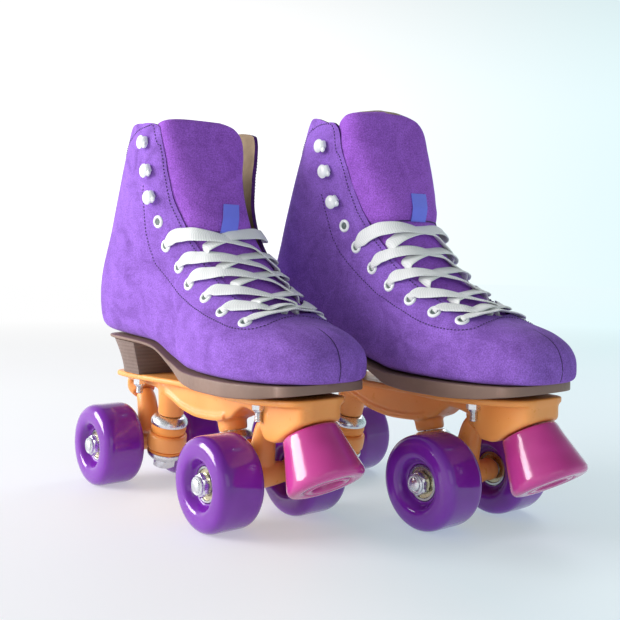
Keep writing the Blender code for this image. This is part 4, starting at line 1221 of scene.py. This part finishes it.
def add_hanger(skate, end):
    """Ring round the kingpin, arm up to the pivot, web between them, and the axle's barrel with its wings."""
    tip = TRACK / 2 - BEARING_FACE - BEARING_GAP
    axle = Vector((0, AXLE_Y, WHEEL_RADIUS))
    ring_half = [(8.0, 5.2), (8.8, 6.0), (12.6, 6.0), (14.0, 4.8)]
    ring = [(r, -h) for r, h in ring_half] + [(14.2, 0.0)] + ring_half[::-1]
    barrel_half = [(4.3, tip), (6.2, tip), (7.0, tip - 0.8), (7.2, tip - 4.0), (6.6, tip - 6.5), (7.6, 8.0)]
    barrel = [(r, -h) for r, h in barrel_half] + [(8.2, 0.0)] + barrel_half[::-1]
    arm = limb(
        36,
        (axle, 0.0, -5.0, 9.5, 4.6),
        (axle, -1.5, 1.0, 11.0, 8.0),
        (axle, -3.2, 7.0, 10.0, 9.2),
        (axle, 0.5, 19.0, 8.0, 7.6, (0, 0.25, 1)),
        (PIVOT_CENTRE, -2.6, -5.0, 7.2, 6.8, (0, 0.5, 0.9)),
        (PIVOT_CENTRE, 0.4, -0.4, 6.6, 6.2, (0, 0.75, 0.66)),
    )
    web = limb(
        20,
        (RING_CENTRE, 9.6, 3.4, 11.0, 4.8, (0, 1, 0)),
        (RING_CENTRE, 16.0, 2.0, 10.0, 5.2, (0, 1, 0)),
        (axle, 0.0, 2.4, 12.0, 5.6, (0, 1, 0)),
    )
    parts = [turned(ring, kingpin_frame()), turned(barrel, along_x(*axle), 0, 48), arm, web]
    for x in (-5.0, 5.0):
        parts.append(loft([oval(axle + Vector((x, -1.0, z)), 5.5, 6.0, sides=24) for z in (-2.0, 4.0)]))
    obj = moulded(skate, f"{end}_moulded_hanger", [turned_about(part, end_turn(end)) for part in parts], 0.7)
    skate.finish(obj, f"{end}_truck", "orange_nylon", f"{end}_hanger")


def lock_nut(sign):
    """Nut with a chamfered hexagon, a rolled top and a nylon insert, outboard of the wheel."""
    start = TRACK / 2 + BEARING_FACE + BEARING_GAP
    levels = [(start + h, limit) for h, limit in ((0, 6.6), (0.5, 7.6), (3.9, 7.6), (4.5, 6.5), (4.6, 5.9))]
    collar = ((4.1, 4.4), (5.9, 4.4), (5.9, 5.6), (5.3, 6.3), (4.5, NUT_HEIGHT), (4.1, 6.2))
    washer = ((4.1, -0.2), (6.3, -0.2), (6.3, 0.5), (4.1, 0.5))
    rings = [turned([(r, start + h) for r, h in profile], sides=48) for profile in (collar, washer)]
    return [turned_about(part, along_x(sign=sign)) for part in [hexagon(13.0, levels)] + rings]


def add_axle(skate, end):
    tip = TRACK / 2 + BEARING_FACE + BEARING_GAP + NUT_HEIGHT + 0.9
    thread_pitch = 0.85
    half = [(0.0, tip), (3.0, tip), (3.6, tip - 0.3)]
    for k in range(9):
        h = tip - 0.4 - k * thread_pitch
        half += [(3.85, h), (3.45, h - 0.42)]
    half += [(AXLE_RADIUS, tip - 9.0), (AXLE_RADIUS, 0.0)]
    rod = turned(half + [(r, -h) for r, h in reversed(half[:-1])], along_x(), 0, 40)
    place = end_turn(end) @ Matrix.Translation((0, AXLE_Y, WHEEL_RADIUS))
    parts = [turned_about(part, place) for part in [rod] + lock_nut(1) + lock_nut(-1)]
    skate.add(f"{end}_threaded_axle", parts, [ZINC], 35.0, f"{end}_truck", "zinc", f"{end}_axle")


def add_kingpin(skate, end):
    """King bolt, a dished washer at each end of the stack and the two cushions it holds."""
    place = kingpin_frame(end)
    head = hexagon(15.0, ((-19.6, 7.3), (-19.3, 7.7), (-18.7, 8.7), (-14.6, 8.7), (-13.9, 7.8)), place)
    dish = turned([(0.0, -19.9), (5.2, -19.9), (6.6, -19.5), (6.6, -19.0), (0.0, -19.0)], place, 0, 40)
    shaft = turned([(0.0, -19.2), (KINGPIN_RADIUS, -19.2), (KINGPIN_RADIUS, 33.0), (0.0, 33.0)], place, 0, 40)
    skate.add(f"{end}_king_bolt", [head, dish, shaft], [ZINC], 35.0, "skate", "zinc", f"{end}_kingpin")
    bore = KINGPIN_RADIUS + 0.3
    cups = {
        "upper": [
            (bore, 19.6), (9.2, 19.6), (10.6, 18.9), (13.0, 16.0), (13.3, 14.6), (13.3, 13.4), (13.0, 12.9),
            (12.6, 13.2), (12.6, 14.4), (11.9, 15.9), (9.8, 18.0), (8.8, 18.6), (bore, 18.6),
        ],
        "lower": [
            (bore, -13.6), (9.4, -13.6), (10.8, -13.0), (13.0, -10.9), (13.3, -9.6), (13.3, -8.6),
            (13.0, -8.1), (12.6, -8.4), (12.6, -9.4), (11.9, -10.4), (9.8, -12.2), (8.8, -12.7),
            (bore, -12.7),
        ],
    }
    for name, profile in cups.items():
        washer = turned(profile, place, 0, 56)
        skate.add(f"{end}_{name}_cup_washer", [washer], [ZINC], 35.0, "skate", "zinc", f"{end}_{name}_cup")
    blocks = {
        "upper": [
            (bore, 6.2), (11.4, 6.2), (12.2, 6.9), (12.7, 9.8), (12.5, 12.8), (11.9, 15.2), (9.8, 17.6),
            (bore, 18.2),
        ],
        "lower": [
            (bore, -6.2), (11.6, -6.2), (12.4, -6.7), (12.6, -7.6), (12.3, -9.0), (11.6, -10.2), (9.8, -11.8),
            (bore, -12.4),
        ],
    }
    for name, profile in blocks.items():
        block = turned(profile, place, 0, 56)
        obj = skate.add(
            f"{end}_{name}_bush", [block], [CUSHION], 40.0, "skate", "cushion", f"{end}_{name}_cushion"
        )
        anchor = skate.place(place @ Vector((0, 0, profile[-1][1])))
        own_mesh(obj)


def add_wheel(skate, end, where):
    """Urethane tyre on a bearing at each face, with a spacer between them."""
    x, y = (-TRACK / 2 if where == "outer" else TRACK / 2), (AXLE_Y if end == "rear" else -AXLE_Y)
    place = along_x(x, y, WHEEL_RADIUS)
    body = f"{end}_{where}_wheel"
    knots = [
        (11.3, 9.3), (12.3, 9.4), (13.0, 10.2), (14.2, 12.6), (15.6, 14.7), (17.0, 15.6), (19.0, 16.0),
        (22.0, 15.9), (24.8, 15.3), (27.0, 14.0), (28.3, 12.2), (28.85, 10.3), (WHEEL_RADIUS, 8.4),
    ]
    half = curve_through(knots, 40).tolist()
    tread = [(WHEEL_RADIUS, h) for h in np.linspace(7.0, -7.0, 7)]
    tyre = turned(half + tread + [(r, -h) for r, h in reversed(half)], place, 0, 128)
    skate.add(f"{end}_{where}_tyre", [tyre], [URETHANE], 35.0, body, "wheel", body)
    outer = [(9.3, 9.1), (9.5, 9.5), (10.7, 9.5), (11.0, 9.2), (11.0, 2.6), (9.3, 2.6)]
    shield = [(5.9, 8.5), (6.2, 8.8), (9.0, 8.8), (9.4, 8.4), (9.4, 2.9), (5.9, 2.9)]
    core = [(4.1, 9.2), (4.4, 9.5), (5.7, 9.5), (6.0, 9.1), (6.0, 2.6), (4.1, 2.6)]
    parts = []
    for face in (1, -1):
        for number, shape in ((0, outer), (1, shield), (0, core)):
            parts.append(turned([(r, face * h) for r, h in shape], place, number))
    parts.append(turned([(4.2, -2.6), (6.2, -2.6), (6.2, 2.6), (4.2, 2.6)], place, 0, 32))
    name = f"{end}_{where}_ball_bearings"
    skate.add(name, parts, [STEEL, SHIELD], 35.0, body, "bearing", f"{end}_{where}_bearings")


def add_toe_stop(skate):
    """Tapered stopper with a ringed floor face, sunk in the middle for the head of its screw."""
    profile = [
        (4.3, 0.0), (15.2, 0.0), (16.6, 0.5), (17.2, 1.8), (18.3, 8.0), (23.0, 27.0), (23.4, 29.2),
        (22.9, 31.2), (21.6, 32.5), (19.6, 33.0), (15.4, 33.0), (14.6, 32.6), (14.2, 31.9), (13.6, 31.9),
        (13.2, 32.6), (12.6, 33.0), (10.6, 33.0), (9.8, 32.6), (9.5, 31.6), (9.5, 24.6), (9.0, 24.0),
        (4.3, 24.0),
    ]
    stopper = turned(profile, stop_frame(), 0, 96)
    skate.add("rubber_toe_stop", [stopper], [STOPPER], 50.0, "skate", "toe_stop", "toe_stop")
    head = hexagon(13.0, ((24.3, 7.4), (24.6, 7.6), (28.6, 7.6), (29.1, 6.8), (29.3, 5.8)), stop_frame())
    shaft = turned([(0.0, 0.3), (AXLE_RADIUS, 0.3), (AXLE_RADIUS, 25.0), (0.0, 25.0)], stop_frame(), 0, 32)
    washer = turned([(4.1, 24.0), (8.6, 24.0), (8.8, 24.3), (8.6, 24.8), (4.1, 24.8)], stop_frame(), 0, 48)
    skate.add("toe_stop_screw", [head, shaft, washer], [ZINC], 35.0, "skate", "zinc", "toe_stop_bolt")


def add_mounting_bolts(skate):
    """Nuts and bolt ends under the plate's flange, two by the toe and two by the heel."""
    parts = []
    radius, chamfer = 4.0 / math.cos(math.pi / 6), 0.6
    for x, y in ((-17.0, -92.0), (17.0, -92.0), (-17.5, 55.0), (17.5, 55.0)):
        place = Matrix.Translation((x, y, 0))
        under = plate_top(y) - FLANGE_THICKNESS
        low, high, drop = under - 4.2, under + 0.3, chamfer * 0.6
        small = radius - chamfer
        levels = ((low, small), (low + drop, radius), (high - drop, radius), (high, small))
        collar = [(0.0, under - 5.0), (3.1, under - 5.0), (3.4, under - 4.0), (0.0, under - 4.0)]
        thread = [(0.0, 66.4), (1.9, 66.4), (2.4, 66.9)]
        for k in range(8):
            thread += [(2.45, 67.4 + k * 0.8), (2.1, 67.8 + k * 0.8)]
        thread += [(2.4, under), (0.0, under)]
        parts += [hexagon(8.0, levels, place, 1), turned(collar, place, 0, 24), turned(thread, place, 0, 24)]
    skate.add("mounting_bolts", parts, [ZINC], 35.0, "skate", "zinc")


# --- the pair -------------------------------------------------------------------------------------

for side in ("right", "left"):
    skate = Skate(side)
    for add_part in (
        add_upper, add_stitching, add_toe_seam, add_eyelets, add_tongue, add_label, add_laces, add_insole,
        add_sole, add_heel, add_plate, add_toe_stop, add_mounting_bolts,
    ):
        add_part(skate)
    for end in ("front", "rear"):
        add_hanger(skate, end)
        add_axle(skate, end)
        add_kingpin(skate, end)
        for where in ("outer", "inner"):
            add_wheel(skate, end, where)

# --- floor, light and camera ----------------------------------------------------------------------

# The light turns cool from one level of facing this way to the next
COOL_SIDE = (0.779, -0.627, 0.0)
COOL_STOPS = ((-0.1, (1.0, 1.0, 1.0)), (0.45, (0.78, 0.97, 1.0)))
FLOOR_HALF = 6
PAIR_MIDDLE = Vector((0, 0, 0.12))

floor_mesh = bpy.data.meshes.new("studio_floor")
corners = [(x * FLOOR_HALF, y * FLOOR_HALF, 0) for x, y in ((-1, -1), (1, -1), (1, 1), (-1, 1))]
floor_mesh.from_pydata(corners, [], [(0, 1, 2, 3)])
floor = bpy.data.objects.new("studio_floor", floor_mesh)
bpy.context.scene.collection.objects.link(floor)

# The floor fades with distance into a glow that meets the backdrop's colour
ground = Finish("studio_floor", (0.90, 0.91, 0.96), 0.55, Specular_IOR_Level=0.2)
ground.colour(ground.ramp(ground.noise(400.0), (0.88, 0.89, 0.95), (0.92, 0.93, 0.97)))
facing = ground.calc("VectorMath", "NORMALIZE", ground.coords)
side_on = ground.calc("VectorMath", "DOT_PRODUCT", facing, COOL_SIDE)
glow = ground.node("Emission", Color=ground.spread(side_on, COOL_STOPS, "LINEAR"), Strength=1.0)
away = ground.calc("VectorMath", "LENGTH", ground.coords)
far = ground.node("MapRange", Value=away, From_Min=-1.2, From_Max=2.0)
blend = ground.node("MixShader", Fac=far.outputs["Result"])
ground.give(blend.inputs[1], ground.shader.outputs["BSDF"])
ground.give(blend.inputs[2], glow.outputs["Emission"])
ground.give(ground.tree.nodes["Material Output"].inputs["Surface"], blend.outputs["Shader"])
floor_mesh.materials.append(ground.material)

scene = bpy.context.scene
world = bpy.data.worlds.new("studio")
world.use_nodes = True
sky = Nodes(world.node_tree)
backdrop = sky.tree.nodes["Background"]
direction = sky.node("TexCoord").outputs["Generated"]


def by_direction(axis, stops):
    """Levels or colours that follow how far the direction turns towards an axis."""
    return sky.spread(sky.calc("VectorMath", "DOT_PRODUCT", direction, axis), stops)


brighter_behind = by_direction((-0.35, 0.93, 0.1), ((-0.5, 0.55), (0.15, 1.0), (0.9, 1.25)))
darker_above = by_direction((0.0, 0.0, 1.0), ((0.15, 1.0), (0.5, 0.6), (0.95, 0.30)))
sky.give(backdrop.inputs["Color"], by_direction(COOL_SIDE, COOL_STOPS))
sky.give(backdrop.inputs["Strength"], sky.calc("Math", "MULTIPLY", brighter_behind, darker_above))
scene.world = world


def softbox(name, place, size, power, colour=(1.0, 1.0, 1.0)):
    """A rectangular light aimed at the middle of the pair."""
    lamp = bpy.data.lights.new(name, "AREA")
    lamp.shape = "RECTANGLE"
    lamp.size, lamp.size_y = size
    lamp.energy = power
    lamp.color = colour
    obj = bpy.data.objects.new(name, lamp)
    obj.location = place
    obj.rotation_euler = (PAIR_MIDDLE - Vector(place)).to_track_quat("-Z", "Y").to_euler()
    scene.collection.objects.link(obj)


softbox("key", (-1.2, 0.8, 0.55), (0.9, 0.7), 24.0)
softbox("front_fill", (-0.45, -1.2, 0.4), (0.9, 0.6), 1.2, (0.96, 0.97, 1.0))
softbox("rim", (0.9, 0.3, 0.9), (0.5, 0.5), 3.0, (0.95, 0.93, 1.0))

CAMERA_PLACE = Vector((-0.3801, -0.4656, 0.1598))
AZIMUTH, ELEVATION, ROLL = (math.radians(a) for a in (-38.854, 0.2934, 0.528))
level = math.cos(ELEVATION)
back = Vector((math.sin(AZIMUTH) * level, -math.cos(AZIMUTH) * level, math.sin(ELEVATION)))
right = Vector((math.cos(AZIMUTH), math.sin(AZIMUTH), 0.0))
up = back.cross(right)
rolled = (right * math.cos(ROLL) + up * math.sin(ROLL), up * math.cos(ROLL) - right * math.sin(ROLL), back)
lens = bpy.data.cameras.new("camera")
lens.lens = 51.83
lens.sensor_width = 36.0
lens.shift_y = -0.0645
lens.clip_start = 0.01
lens.clip_end = 60.0
camera = bpy.data.objects.new("camera", lens)
camera.matrix_world = Matrix.Translation(CAMERA_PLACE) @ Matrix(rolled).transposed().to_4x4()
scene.collection.objects.link(camera)
scene.camera = camera
scene.view_settings.view_transform = "Standard"
